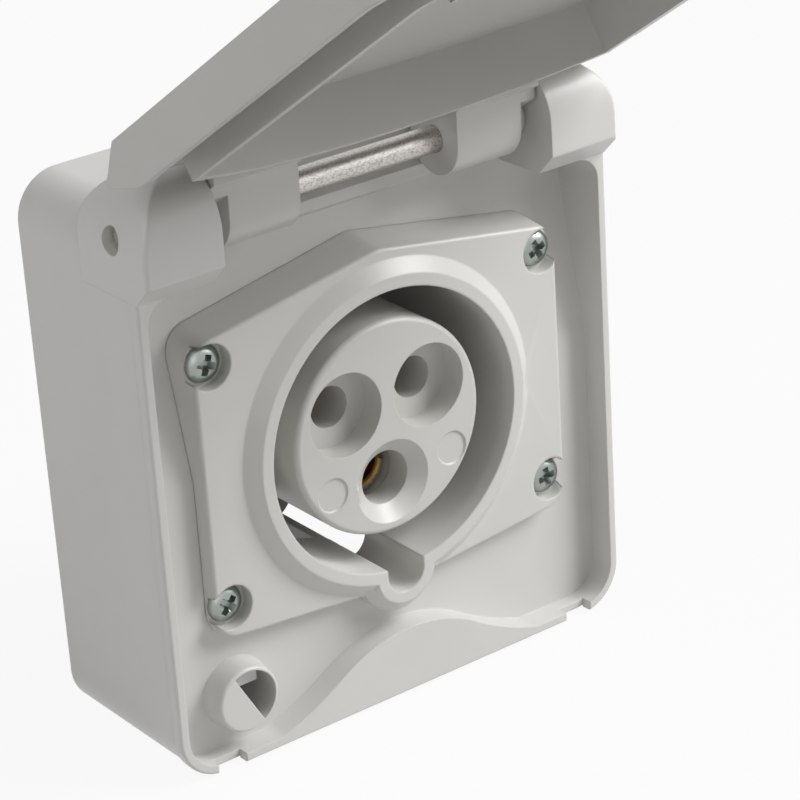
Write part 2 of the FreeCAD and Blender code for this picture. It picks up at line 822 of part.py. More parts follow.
def contact_carrier():
    """Insert that holds the contacts, with a flange that closes the groove."""
    top = face_y + carrier_sink
    back = groove_end_y + carrier_flange
    insert = post(carrier_radius, top, back, 0, 0)
    insert = rounded(insert, carrier_edge, lambda e: in_plane(e, top))
    flange = post(sleeve_outer, groove_end_y, back, 0, 0)
    tab = keyway_shape(keyway_wall, groove_end_y, back)
    ear = post(ear_radius, groove_end_y, back, ear_x, 0)
    arm = block(0, ear_x, groove_end_y, back, -ear_radius, ear_radius)
    solid = insert.fuse(flange).fuse(tab).fuse(both_sides(ear.fuse(arm)))
    half = carrier_barrier_thickness / 2
    for angle in barrier_angles:
        fin = block(0, carrier_radius, back - 0.5, back + carrier_barrier_length, -half, half)
        fin.rotate(vec(0, 0, 0), vec(0, 1, 0), -angle)
        solid = solid.fuse(fin)
    for name in contact_angles:
        solid = solid.cut(chamber(name))
    for angle in mark_angles:
        x, z = polar(mark_circle_radius, angle)
        solid = solid.cut(post(mark_radius, top - 1, top + mark_depth, x, z))
    hole = post(screw_shank_radius + screw_hole_clearance, groove_end_y - 1, back + 1, ear_x, 0)
    return solid.cut(both_sides(hole)).removeSplitter()


def contact(name):
    """Slit brass tube with a square terminal and its wire bore."""
    x, z = polar(contact_circle_radius, contact_angles[name])
    bore, start, _ = contact_sizes(name)
    outer = bore + tube_wall
    block_start = groove_end_y + carrier_flange + terminal_gap
    block_end = block_start + terminal_length
    solid = post(outer, start, block_start, x, z)
    half = terminal_width / 2
    head = block(x - half, x + half, block_start, block_end, z - half, z + half)
    head.rotate(vec(x, 0, z), vec(0, 1, 0), 90 - contact_angles[name])
    solid = solid.fuse(head)
    solid = solid.cut(post(bore, start - 1, start + tube_length, x, z))
    slot = block(x - tube_slot / 2, x + tube_slot / 2, start - 1, start + tube_slot_length,
                 z - outer - 1, z + outer + 1)
    solid = solid.cut(slot)
    solid = solid.cut(post(wire_bore_radius, block_end - wire_bore_depth, block_end + 1, x, z))
    base, direction = terminal_screw_axis(name)
    return solid.cut(Part.makeCylinder(terminal_screw_radius, reach, base, direction))


def terminal_screw_axis(name):
    """Start point and direction of the clamp screw of one terminal."""
    x, z = polar(contact_circle_radius, contact_angles[name])
    ux, uz = polar(1.0, contact_angles[name])
    block_end = groove_end_y + carrier_flange + terminal_gap + terminal_length
    return vec(x, block_end - terminal_screw_depth, z), vec(ux, 0, uz)


def terminal_screw(name):
    """Slotted clamp screw, just clear of the wire's bore."""
    base, direction = terminal_screw_axis(name)
    start = base + direction * (wire_bore_radius + terminal_screw_gap)
    length = terminal_width / 2 - wire_bore_radius + terminal_screw_rise
    shank = Part.makeCylinder(terminal_screw_radius, length, start, direction)
    across = 2 * terminal_width
    slot = Part.makeBox(terminal_slot_width, across, 2, vec(-terminal_slot_width / 2, -across / 2, -1))
    slot.Placement = FreeCAD.Placement(start + direction * length, FreeCAD.Rotation(vec(0, 0, 1), direction))
    return shank.cut(slot)


def contact_spring(name):
    """Open steel ring that keeps the slit tube closed on the pin."""
    x, z = polar(contact_circle_radius, contact_angles[name])
    bore, start, _ = contact_sizes(name)
    inner = bore + tube_wall
    near = start + spring_place
    far = near + spring_length
    ring = post(inner + spring_wall, near, far, x, z)
    ring = ring.cut(post(inner, near - 1, far + 1, x, z))
    half = spring_gap / 2
    return ring.cut(block(x, x + 2 * inner, near - 1, far + 1, z - half, z + half))


def carrier_screw(side):
    """Screw that holds the carrier's ear from behind."""
    back = groove_end_y + carrier_flange
    screw = panhead_screw(0, 0, 0, screw_head_radius, screw_head_height,
                          screw_shank_radius, carrier_screw_length, carrier_screw_turn)
    screw.rotate(vec(0, 0, 0), vec(0, 0, 1), 180)
    screw.translate(vec(side * ear_x, back + screw_head_height, 0))
    return screw


def hinge_pin():
    """Pin through both lugs and both barrels."""
    half = housing_half_width - pin_recess
    pin = bar_x(pin_radius, -half, half, hinge_y, hinge_height)
    return pin.makeChamfer(pin_chamfer, [e for e in pin.Edges if e.Closed and len(e.Vertexes) == 1])


# The lid is drawn closed: depth runs forward from the hinge axis and drop
# runs down from it. Everything on the lid is then swung open together.
def lid_y(depth):
    """Depth coordinate of a lid depth."""
    return hinge_y - depth


def lid_z(drop):
    """Height coordinate of a lid drop."""
    return hinge_height - drop


def lid_prism(points, x0, x1):
    """Solid from (drop, depth, radius) corners, between x0 and x1."""
    return side_prism([(lid_y(a), lid_z(b), r) for b, a, r in points], x0, x1)


def crown_cut(depth_side, rise, half_width):
    """Everything on the hinge side of a gently crowned surface."""
    radius = (half_width ** 2 + rise ** 2) / (2 * rise)
    centre = lid_y(depth_side + rise) + radius
    far = half_width + lid_corner
    y_far = centre - math.sqrt(radius ** 2 - far ** 2)
    z0 = lid_z(-reach)
    left = vec(-far, y_far, z0)
    right = vec(far, y_far, z0)
    edges = [
        Part.Arc(left, vec(0, centre - radius, z0), right).toShape(),
        Part.LineSegment(right, vec(far, reach, z0)).toShape(),
        Part.LineSegment(vec(far, reach, z0), vec(-far, reach, z0)).toShape(),
        Part.LineSegment(vec(-far, reach, z0), left).toShape(),
    ]
    return Part.Face(Part.Wire(edges)).extrude(vec(0, 0, -3 * reach))


def lid_foot_drop():
    """Drop of the lid's free end."""
    return hinge_height - lid_foot


def lid_shell():
    """Outer skin and side walls, hollow from behind."""
    foot = lid_foot_drop()
    top_depth = lid_edge_depth + lid_crown
    outer = lid_prism([
        (lid_nose_drop, lid_nose_depth, lid_nose_round),
        (lid_nose_run, top_depth, lid_shoulder_round),
        (foot, top_depth, lid_edge_round + lid_crown),
        (foot, lid_rim_depth, 0),
        (lid_nose_run, lid_rim_depth, lid_flank_round),
    ], -lid_half_width, lid_half_width)
    outline = box_outline(lid_half_width, lid_z(0), lid_foot, 0, lid_corner)
    outer = outer.common(front_prism(outline, lid_y(reach), reach))
    outer = outer.common(crown_cut(lid_edge_depth, lid_crown, lid_half_width))
    rise = lid_skin
    inner = lid_prism([
        (lid_nose_drop + lid_end_wall, lid_nose_depth, 0),
        (lid_nose_run + lid_shoulder_lag, top_depth - rise, lid_shoulder_round - 1),
        (foot - lid_wall, top_depth - rise, lid_edge_round),
        (foot - lid_wall, -reach / 2, 0),
        (lid_nose_drop + lid_end_wall, -reach / 2, 0),
    ], -lid_half_width, lid_half_width)
    half = lid_half_width - lid_wall
    hollow = box_outline(half, lid_z(0), lid_foot + lid_wall, 0, lid_corner - lid_wall)
    inner = inner.common(front_prism(hollow, lid_y(reach), reach))
    inner = inner.common(crown_cut(lid_edge_depth - rise, lid_crown, half))
    return outer.cut(inner), inner


def skirt_outline(offset, y):
    """Closed outline of the inner skirt: arched top, straight sides, bell foot."""
    side = skirt_inner + offset
    apex = lid_z(skirt_top_drop) - skirt_wall + offset
    radius = skirt_top_radius - skirt_wall + offset
    shoulder = apex - radius + math.sqrt(radius ** 2 - side ** 2)
    half = math.asin(side / radius) / 2
    mid_x = radius * math.sin(half)
    mid_z = apex - radius + radius * math.cos(half)
    lift = skirt_tongue_gap + skirt_wall - offset
    right = tongue_profile(lift, 1)
    left = tongue_profile(lift, -1)
    foot = right[4][1]
    corner = skirt_corner + offset
    slack = corner * (1 - math.sqrt(0.5))

    def at(x, z):
        return vec(x, y, z)

    edges = [
        Part.Arc(at(-side, shoulder), at(-mid_x, mid_z), at(0, apex)),
        Part.Arc(at(0, apex), at(mid_x, mid_z), at(side, shoulder)),
        Part.LineSegment(at(side, shoulder), at(side, foot + corner)),
        Part.Arc(at(side, foot + corner), at(side - slack, foot + slack), at(side - corner, foot)),
        Part.LineSegment(at(side - corner, foot), at(*right[4])),
        Part.Arc(at(*right[4]), at(*right[3]), at(*right[2])),
        Part.Arc(at(*right[2]), at(*right[1]), at(*right[0])),
        Part.Arc(at(*left[0]), at(*left[1]), at(*left[2])),
        Part.Arc(at(*left[2]), at(*left[3]), at(*left[4])),
        Part.LineSegment(at(*left[4]), at(corner - side, foot)),
        Part.Arc(at(corner - side, foot), at(slack - side, foot + slack), at(-side, foot + corner)),
        Part.LineSegment(at(-side, foot + corner), at(-side, shoulder)),
    ]
    return Part.Wire([e.toShape() for e in edges])


def skirt_ring():
    """Wall of the inner skirt, from its edge past the lid's skin."""
    edge_y = floor_y - skirt_gap
    far_y = lid_y(lid_edge_depth + lid_crown)
    rise = vec(0, far_y - edge_y, 0)
    outer = Part.Face(skirt_outline(skirt_wall, edge_y)).extrude(rise)
    inner = Part.Face(skirt_outline(0, edge_y)).extrude(rise)
    return outer.cut(inner)


def tangent_point(drop, depth, radius, turn):
    """Where a line from (drop, depth) touches the circle round the hinge axis."""
    distance = math.hypot(drop, depth)
    angle = math.atan2(depth, drop) + turn * math.acos(radius / distance)
    return radius * math.cos(angle), radius * math.sin(angle)


def hood_line():
    """Corner where the lid's skin starts to fall towards the barrels."""
    return lid_nose_run, lid_shoulder_depth


def barrel():
    """Right hinge barrel with the web that joins it to the lid."""
    edge_depth = hinge_y - floor_y + skirt_gap
    low = tangent_point(skirt_top_drop, edge_depth, barrel_radius, -1)
    high = tangent_point(*hood_line(), barrel_radius, 1)
    points = [
        (0.0, 0.0, 0),
        (low[0], low[1], 0),
        (skirt_top_drop, edge_depth, 0),
        (skirt_top_drop + skirt_wall, edge_depth, 0),
        (hood_line()[0] - 2.0, hood_line()[1] - hood_thickness, 0),
        (hood_line()[0], hood_line()[1], 0),
        (high[0], high[1], 0),
    ]
    web = lid_prism(points, barrel_inner, barrel_outer)
    tube = bar_x(barrel_radius, barrel_inner, barrel_outer, hinge_y, hinge_height)
    notch_inner_x = barrel_outer - barrel_notch
    hub = pin_bore + barrel_hub_wall
    notch = block(notch_inner_x, barrel_outer + 1, hinge_y, hinge_y + 2 * barrel_radius,
                  hinge_height - 2 * barrel_radius, hinge_height + 2 * barrel_radius)
    notch = notch.cut(bar_x(hub, barrel_inner, barrel_outer + 2, hinge_y, hinge_height))
    return tube.fuse(web).cut(notch)


def hood():
    """Skin between the barrels, falling towards the hinge."""
    run, depth = hood_line()
    high = tangent_point(run, depth, barrel_radius, 1)
    slope = (depth - high[1]) / (run - high[0])
    near = depth - slope * (run - hood_reach)
    points = [
        (hood_reach, near, 0),
        (run + 1.0, depth + slope, 0),
        (run + 1.0, depth + slope - hood_thickness, 0),
        (skirt_top_drop + skirt_wall, near - hood_thickness + 1.2, 0),
        (hood_reach, near - hood_thickness, 0),
    ]
    return lid_prism(points, -barrel_outer, barrel_outer)


def latch_place():
    """Latch axis as x and z, with the lid closed."""
    along = polar(1.0, catch_chord_angle)
    away = polar(latch_stem_radius + latch_chord_gap, catch_chord_angle + 90)
    x = catch_x + away[0] + latch_shift * along[0]
    z = catch_z + away[1] + latch_shift * along[1]
    return x, z


def catch_face_depth():
    """Lid depth of the catch's front face."""
    return hinge_y - face_y + catch_rise


def lid_skin_depth(x):
    """Depth of the crowned outer skin at one x."""
    half = lid_half_width
    radius = (half ** 2 + lid_crown ** 2) / (2 * lid_crown)
    return lid_edge_depth + lid_crown - radius + math.sqrt(radius ** 2 - x ** 2)


def knob_seat_depth():
    """Lid depth of the knob's underside."""
    x = latch_place()[0]
    return lid_skin_depth(abs(x) - latch_knob_radius) + latch_seat_gap


def boss_foot_depth():
    """Lid depth at which the latch boss ends."""
    return catch_face_depth() + latch_spindle_gap + latch_clip_thickness + latch_seat_gap


def lid_closed():
    """Whole lid moulding in its closed place."""
    shell, hollow = lid_shell()
    inside = hollow.fuse(shell).common(block(-reach, reach, -reach, reach, lid_foot, hinge_height))
    solid = shell.fuse(skirt_ring().common(inside.fuse(front_band())))
    solid = solid.fuse(hood()).fuse(both_sides(barrel()))
    solid = solid.fuse(stop_bump().common(hollow))
    x, z = latch_place()
    seat = knob_seat_depth() - latch_seat_gap
    bore = latch_spindle_radius + latch_bore_clearance
    solid = solid.fuse(post(latch_boss_radius, lid_y(seat), lid_y(boss_foot_depth()), x, z))
    solid = solid.cut(post(bore, lid_y(reach), lid_y(0), x, z))
    ring_out = bore + latch_ring_section
    solid = solid.cut(post(ring_out, lid_y(seat), lid_y(seat - 2 * latch_ring_section), x, z))
    solid = solid.cut(both_sides(lug_clearance()))
    return solid.cut(bar_x(pin_bore, -reach, reach, hinge_y, hinge_height)).removeSplitter()


def lug_clearance():
    """Space that the right lug and the rim beside it need as the lid swings."""
    inside = housing_half_width + lid_gap
    nose = bar_x(lug_radius + lid_gap, barrel_outer, reach, hinge_y, hinge_height)
    foot_reach = math.hypot(lug_radius, hinge_height - lug_chamfer_top)
    foot = bar_x(foot_reach + lid_gap, barrel_outer, inside, hinge_y, hinge_height)
    rim = block(barrel_outer, inside, rim_y - lid_gap, 0, lid_z(lid_nose_run), hinge_height)
    return nose.fuse(foot).fuse(rim)


def stop_bump():
    """Small round-ended rib on the lid's inner face."""
    floor_depth = lid_edge_depth - lid_skin + lid_crown
    near = lid_y(floor_depth - bump_height - lid_crown / 2)
    end = post(bump_half_width, lid_y(floor_depth), near, bump_x, lid_z(bump_length))
    return end.fuse(block(bump_x - bump_half_width, bump_x + bump_half_width, lid_y(floor_depth),
                          near, lid_z(bump_length), lid_z(skirt_top_drop)))


def front_band():
    """Space just behind the lid's rim plane in which the skirt stands."""
    return block(-skirt_inner - skirt_wall, skirt_inner + skirt_wall, lid_y(lid_rim_depth + 3),
                 floor_y, lid_foot, lid_z(skirt_top_drop))


def spindle_end_depth():
    """Lid depth of the spindle's inner end."""
    return catch_face_depth() + latch_spindle_gap


def latch_knob_closed():
    """Round knob with a finger bar and a spindle through the lid."""
    x, z = latch_place()
    seat = knob_seat_depth()
    top = lid_y(seat + latch_knob_rise)
    disc = post(latch_knob_radius, top, lid_y(seat), x, z)
    disc = rounded(disc, latch_knob_edge, lambda e: in_plane(e, top))
    bar_top = lid_y(seat + latch_bar_rise)
    half = latch_knob_radius * latch_bar_span
    bar = block(x - half, x + half, bar_top, lid_y(seat + 1),
                z - latch_bar_half_width, z + latch_bar_half_width)
    bar = rounded(bar, latch_bar_edge, lambda e: in_plane(e, bar_top))
    bar.rotate(vec(x, 0, z), vec(0, 1, 0), -catch_chord_angle)
    end = spindle_end_depth()
    spindle = post(latch_spindle_radius, lid_y(seat), lid_y(end), x, z)
    spindle = spindle.cut(latch_clip_groove_shape(latch_spindle_radius + 1))
    socket_end = end + latch_stem_grip + latch_stem_end_gap
    socket = post(latch_stem_radius + latch_stem_clearance, lid_y(socket_end), lid_y(end - 1), x, z)
    return disc.fuse(bar).fuse(spindle).cut(socket).removeSplitter()


def latch_clip_groove_shape(outer):
    """Ring in which the retaining clip sits, out to the given radius."""
    x, z = latch_place()
    back = spindle_end_depth() + latch_seat_gap
    front = back + latch_clip_thickness
    ring = post(outer, lid_y(front), lid_y(back), x, z)
    return ring.cut(post(latch_spindle_radius - latch_clip_groove, lid_y(front + 1), lid_y(back - 1), x, z))


def latch_clip_closed():
    """Open steel ring that keeps the spindle in the lid."""
    x, z = latch_place()
    clip = latch_clip_groove_shape(latch_spindle_radius + latch_clip_width)
    half = latch_clip_gap / 2
    far = x + 2 * latch_knob_radius
    return clip.cut(block(x, far, lid_y(knob_seat_depth()), 0, z - half, z + half))


def latch_bolt_closed():
    """Steel stem in the spindle, with the finger that turns behind the catch."""
    x, z = latch_place()
    front = catch_face_depth() - catch_skin - latch_finger_gap
    back = front - latch_finger_thickness
    stem = post(latch_stem_radius, lid_y(spindle_end_depth() + latch_stem_grip), lid_y(back), x, z)
    run = latch_finger_length - latch_stem_radius
    finger = block(0, run, lid_y(front), lid_y(back), -latch_stem_radius, latch_stem_radius)
    finger = finger.fuse(post(latch_stem_radius, lid_y(front), lid_y(back), run, 0))
    finger.rotate(vec(0, 0, 0), vec(0, 1, 0), -catch_chord_angle)
    finger.translate(vec(x, 0, z))
    return stem.fuse(finger).removeSplitter()


def latch_ring_closed():
    """Rubber ring that seals the spindle under the knob."""
    x, z = latch_place()
    seat = knob_seat_depth() - latch_seat_gap
    inner = latch_spindle_radius + latch_bore_clearance
    outer = inner + latch_ring_section
    ring = post(outer, lid_y(seat), lid_y(seat - 2 * latch_ring_section), x, z)
    return ring.cut(post(inner, lid_y(seat + 1), lid_y(seat - 3), x, z))


def opened(shape):
    """Swing a shape drawn with the lid closed to the lid's open place."""
    shape = shape.copy()
    shape.rotate(vec(0, hinge_y, hinge_height), vec(1, 0, 0), -lid_open_angle)
    return shape


def build():
    """All pieces by their file names."""
    pieces = {
        "housing": housing(),
        "rear_seal": rear_seal(),
        "socket_plate": socket_plate(),
        "plate_gasket": plate_gasket(),
        "contact_carrier": contact_carrier(),
        "hinge_pin": hinge_pin(),
        "lid": opened(lid_closed()),
        "latch_knob": opened(latch_knob_closed()),
        "latch_bolt": opened(latch_bolt_closed()),
        "latch_clip": opened(latch_clip_closed()),
        "latch_ring": opened(latch_ring_closed()),
    }
    for name in contact_angles:
        pieces[name + "_contact"] = contact(name)
        pieces[name + "_spring"] = contact_spring(name)
        pieces[name + "_terminal_screw"] = terminal_screw(name)
    for name in screw_places:
        pieces["plate_screw_" + name] = plate_screw(name)
    for name, side in (("left", -1), ("right", 1)):
        pieces["carrier_screw_" + name] = carrier_screw(side)
    return pieces


for node, shape in build().items():
    shape.exportStep("parts/" + node + ".step")
    print(node, shape.isValid(), len(shape.Solids), round(shape.Volume, 1))
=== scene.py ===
"""Looks of the outdoor weatherproof socket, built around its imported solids."""

from __future__ import annotations

import json
import logging
import math
from dataclasses import dataclass, field
from enum import Enum
from typing import Protocol

import bmesh
import bpy
from mathutils import Matrix, Vector


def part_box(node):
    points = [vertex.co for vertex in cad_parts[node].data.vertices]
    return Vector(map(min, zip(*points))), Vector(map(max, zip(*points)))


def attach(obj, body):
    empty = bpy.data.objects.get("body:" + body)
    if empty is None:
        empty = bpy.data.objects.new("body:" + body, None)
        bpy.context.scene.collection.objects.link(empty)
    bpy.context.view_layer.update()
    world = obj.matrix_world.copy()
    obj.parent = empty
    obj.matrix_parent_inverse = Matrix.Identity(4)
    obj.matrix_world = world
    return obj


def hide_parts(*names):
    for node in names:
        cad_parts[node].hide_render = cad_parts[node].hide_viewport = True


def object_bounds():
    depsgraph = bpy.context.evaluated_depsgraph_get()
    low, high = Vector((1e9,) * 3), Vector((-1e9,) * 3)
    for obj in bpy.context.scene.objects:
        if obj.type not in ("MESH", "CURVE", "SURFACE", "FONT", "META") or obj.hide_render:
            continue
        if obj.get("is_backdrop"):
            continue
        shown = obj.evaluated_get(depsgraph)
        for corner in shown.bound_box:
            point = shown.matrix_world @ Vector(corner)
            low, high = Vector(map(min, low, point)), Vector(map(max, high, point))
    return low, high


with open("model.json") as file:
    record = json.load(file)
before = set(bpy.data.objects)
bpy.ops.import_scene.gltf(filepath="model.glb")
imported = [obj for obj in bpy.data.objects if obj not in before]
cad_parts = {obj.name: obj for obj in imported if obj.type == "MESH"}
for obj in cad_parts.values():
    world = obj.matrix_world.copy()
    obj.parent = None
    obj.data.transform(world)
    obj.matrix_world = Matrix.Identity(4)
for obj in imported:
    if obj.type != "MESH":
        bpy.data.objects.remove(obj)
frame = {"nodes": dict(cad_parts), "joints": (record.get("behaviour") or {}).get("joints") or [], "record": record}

log = logging.getLogger("weatherproof_socket")
Colour = tuple[float, float, float]
Place = tuple[float, float, float]
Outline = tuple[tuple[float, float], ...]

MM = 0.001
ORIGIN = (0.0, 0.0, 0.0)
SPIN_AXIS = (0.0, 1.0, 0.0)
WHITE = (1.0, 1.0, 1.0)
# Distances in metres within which corners are joined and edges dissolved.
SPUN_JOIN = 1e-7
SOLID_JOIN = 2e-6
SHORTEST_EDGE = 1e-6
# Angles from which an edge is shown sharp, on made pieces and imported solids.
MADE_CREASE = math.radians(38.0)
SOLID_CREASE = math.radians(32.0)
# Pull of large faces on the shading of the edges beside them.
FACE_WEIGHT = 80


def srgb(red: float, green: float, blue: float) -> Colour:
    """Turn 0 to 255 display values into a linear colour.

    Args:
        red: Red as it is seen on screen.
        green: Green as it is seen on screen.
        blue: Blue as it is seen on screen.

    Returns:
        The linear colour that a shader takes.
    """

    def linear(value: float) -> float:
        """Linear value of one display channel."""
        share = value / 255.0
        return share / 12.92 if share <= 0.04045 else ((share + 0.055) / 1.055) ** 2.4

    return linear(red), linear(green), linear(blue)


def middle(low: Place, high: Place) -> Place:
    """Point halfway between two corners."""
    return tuple((a + b) / 2 for a, b in zip(low, high))


def stand(name: str, data: bpy.types.ID) -> bpy.types.Object:
    """Put new data into the scene as an object.

    Args:
        name: Name of the object.
        data: Its mesh, lamp or camera.

    Returns:
        The object.
    """
    holder = bpy.data.objects.new(name, data)
    bpy.context.scene.collection.objects.link(holder)
    return holder


def joint_of(name: str) -> dict:
    """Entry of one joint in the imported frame."""
    return next(joint for joint in frame["joints"] if joint["name"] == name)


class Body(Enum):
    """Rigid bodies that pieces ride on."""

    BASE = "base"
    LID = "lid"
    LATCH = "latch"


class Combine(Enum):
    """Ways in which one workpiece changes another."""

    ADD = "UNION"
    CUT = "DIFFERENCE"


class Facing(Enum):
    """Way that a screw's head looks."""

    USER = 1
    WALL = -1


class Wave:
    """A shader value that can be added and multiplied like a number."""

    def __init__(self, paint: NodeMaker, socket: bpy.types.NodeSocket) -> None:
        """Wrap one output socket of a paint's node tree."""
        self.paint = paint
        self.socket = socket

    def _math(self, operation: str, *values: object) -> Wave:
        """Add one Math node that takes the given values in order."""
        return self.paint.node("ShaderNodeMath", {"operation": operation}, dict(enumerate(values)))

    def __add__(self, other: object) -> Wave:
        """Sum of two values."""
        return self._math("ADD", self, other)

    __radd__ = __add__

    def __mul__(self, other: object) -> Wave:
        """Product of two values."""
        return self._math("MULTIPLY", self, other)

    def clamp(self) -> Wave:
        """This value kept between 0 and 1."""
        return self.paint.node("ShaderNodeClamp", {}, {0: self, 1: 0.0, 2: 1.0})


class NodeMaker:
    """Adds nodes to one node tree."""

    def __init__(self, tree: bpy.types.NodeTree) -> None:
        """Start with an empty tree."""
        self.tree = tree
        self.tree.nodes.clear()

    def connect(self, socket: bpy.types.NodeSocket, value: object) -> None:
        """Set a socket to a number or colour, or link it to a wave or socket.

        Args:
            socket: Input that takes the value.
            value: Number, colour, vector, wave or output socket.
        """
        if isinstance(value, Wave):
            self.tree.links.new(value.socket, socket)
        elif isinstance(value, bpy.types.NodeSocket):
            self.tree.links.new(value, socket)
        elif isinstance(value, (tuple, list)) and socket.type == "RGBA" and len(value) == 3:
            socket.default_value = (*value, 1.0)
        else:
            socket.default_value = value

    def fill_ramp(
        self, ramp: bpy.types.ColorRamp, stops: tuple[tuple[float, Colour], ...]
    ) -> None:
        """Give a colour ramp its stops.

        Args:
            ramp: Ramp to fill.
            stops: Pairs of place and colour, from left to right.
        """
        while len(ramp.elements) > len(stops):
            ramp.elements.remove(ramp.elements[-1])
        while len(ramp.elements) < len(stops):
            ramp.elements.new(1.0)
        for element, (place, colour) in zip(ramp.elements, stops):
            element.position = place
            element.color = (*colour, 1.0)

    def node(
        self,
        kind: str,
        settings: dict[str, object],
        values: dict[object, object],
        out: object = 0,
    ) -> Wave:
        """Add a node.

        Args:
            kind: The node's type name.
            settings: Properties of the node, or a ramp's stops.
            values: Values or links for its inputs, by name or number.
            out: Name or number of the output that is returned.

        Returns:
            The chosen output as a wave.
        """
        made = self.tree.nodes.new(kind)
        for key, value in settings.items():
            if key == "stops":
                self.fill_ramp(made.color_ramp, value)
            else:
                setattr(made, key, value)
        for key, value in values.items():
            self.connect(made.inputs[key], value)
        return Wave(self, made.outputs[out])

    def seen_or_shiny(self) -> Wave:
        """One where a camera, glossy or clear ray looks, else nothing.

        Returns:
            A wave that is 1 or 0.
        """
        rays = self.tree.nodes.new("ShaderNodeLightPath")
        names = ("Is Camera Ray", "Is Glossy Ray", "Is Transmission Ray")
        camera, glossy, clear = (Wave(self, rays.outputs[name]) for name in names)
        return (camera + glossy + clear).clamp()


@dataclass(frozen=True)
class Grain:
    """One noise over an object.

    The scale is in waves per metre. Detail and roughness are the number and
    strength of the finer layers, and the stretch is along X, Y and Z.
    """

    scale: float
    detail: float = 2.0
    roughness: float = 0.5
    stretch: Place = (1.0, 1.0, 1.0)


class Paint(NodeMaker):
    """One material and the nodes that make it."""

    bevel_samples = 6

    def __init__(self, name: str) -> None:
        """Start an empty material with a Principled shader.

        Args:
            name: Name of the material.
        """
        self.material = bpy.data.materials.new(name)
        self.material.use_nodes = True
        super().__init__(self.material.node_tree)
        self.output = self.tree.nodes.new("ShaderNodeOutputMaterial")
        self.shader = self.tree.nodes.new("ShaderNodeBsdfPrincipled")
        self.tree.links.new(self.shader.outputs["BSDF"], self.output.inputs["Surface"])

    def place(self) -> Wave:
        """Object coordinates of the shaded point, in metres."""
        return self.node("ShaderNodeTexCoord", {}, {}, "Object")

    def noise(self, grain: Grain) -> Wave:
        """Noise over the object.

        Args:
            grain: Scale, layers and stretch of the noise.

        Returns:
            A value around 0.5.
        """
        mapping = {"Vector": self.place(), "Scale": grain.stretch}
        values = {
            "Vector": self.node("ShaderNodeMapping", {}, mapping),
            "Scale": grain.scale,
            "Detail": grain.detail,
            "Roughness": grain.roughness,
        }
        return self.node("ShaderNodeTexNoise", {}, values)

    def blend(self, first: object, second: object, share: object) -> Wave:
        """Mix two colours by a share from 0 to 1."""
        return self.node("ShaderNodeMix", {"data_type": "RGBA"}, {0: share, 6: first, 7: second}, 2)

    def bump(self, height: Wave, depth: float, softness: float = 0.0) -> None:
        """Raise the surface by a height wave.

        Args:
            height: Wave from 0 to 1.
            depth: Height of its crests in metres.
            softness: Radius in metres to which edges look rounded, none where 0.
        """
        values = {"Strength": 1.0, "Distance": depth, "Height": height}
        if softness:
            samples = {"samples": self.bevel_samples}
            values["Normal"] = self.node("ShaderNodeBevel", samples, {"Radius": softness})
        raised = self.node("ShaderNodeBump", {}, values, "Normal")
        self.connect(self.shader.inputs["Normal"], raised)

    def set(self, **values: object) -> None:
        """Set the shader's sockets by name, with underscores for spaces."""
        for key, value in values.items():
            self.connect(self.shader.inputs[key.replace("_", " ")], value)


@dataclass(frozen=True)
class MouldedPlastic:
    """Smooth moulded plastic with faint flow marks and fine grain."""

    name: str
    colour: Colour
    darker: float = 0.93
    roughness: float = 0.31
    relief: float = 6e-6
    softness: float = 3e-4
    flow: Grain = Grain(55.0, 2.0, 0.5, (1.0, 1.6, 1.0))
    fine: Grain = Grain(5200.0, 2.0, 0.6)
    flow_dulls: float = 0.06
    fine_dulls: float = 0.05
    flow_height: float = 0.3
    fine_height: float = 0.7

    def paint(self) -> bpy.types.Material:
        """Build the material.

        Returns:
            The material.
        """
        p = Paint(self.name)
        flow, fine = p.noise(self.flow), p.noise(self.fine)
        dark = tuple(c * self.darker for c in self.colour)
        smooth = self.roughness - self.fine_dulls
        p.set(Base_Color=p.blend(dark, self.colour, flow), Metallic=0.0)
        p.set(Roughness=smooth + flow * self.flow_dulls + fine * self.fine_dulls)
        height = fine * self.fine_height + flow * self.flow_height
        p.bump(height, self.relief, self.softness)
        return p.material


@dataclass(frozen=True)
class SpeckledSteel:
    """Drawn steel with dark speckles along its length."""

    name: str
    colour: Colour
    speck: Colour
    roughness: float = 0.3
    relief: float = 2.2e-5
    drawn: Grain = Grain(900.0, 3.0, 0.6, (1.0, 6.0, 6.0))
    specks: Grain = Grain(4200.0, 3.0, 0.6, (0.6, 1.0, 1.0))
    speck_start: float = 0.46
    speck_full: float = 0.68
    speck_share: float = 0.75
    darker: float = 0.82
    drawn_dulls: float = 0.18

    def paint(self) -> bpy.types.Material:
        """Build the material.

        Returns:
            The material.
        """
        p = Paint(self.name)
        lines, specks = p.noise(self.drawn), p.noise(self.specks)
        stops = ((self.speck_start, (0.0, 0.0, 0.0)), (self.speck_full, WHITE))
        mask = p.node("ShaderNodeValToRGB", {"stops": stops}, {0: specks})
        shade = p.blend(tuple(c * self.darker for c in self.colour), self.colour, lines)
        p.set(Base_Color=p.blend(shade, self.speck, mask * self.speck_share), Metallic=1.0)
        p.set(Roughness=self.roughness + lines * self.drawn_dulls)
        p.bump(lines + specks, self.relief)
        return p.material


@dataclass(frozen=True)
class CloudedSurface:
    """Surface between two colours, dulled and raised by one fine grain."""

    name: str
    colour: Colour
    other: Colour
    cloud: Grain
    fine: Grain
    roughness: float
    fine_dulls: float
    relief: float = 8e-6
    metallic: float = 1.0

    def paint(self) -> bpy.types.Material:
        """Build the material.

        Returns:
            The material.
        """
        p = Paint(self.name)
        cloud, fine = p.noise(self.cloud), p.noise(self.fine)
        p.set(Base_Color=p.blend(self.colour, self.other, cloud), Metallic=self.metallic)
        p.set(Roughness=self.roughness + fine * self.fine_dulls)
        p.bump(fine, self.relief)
        return p.material


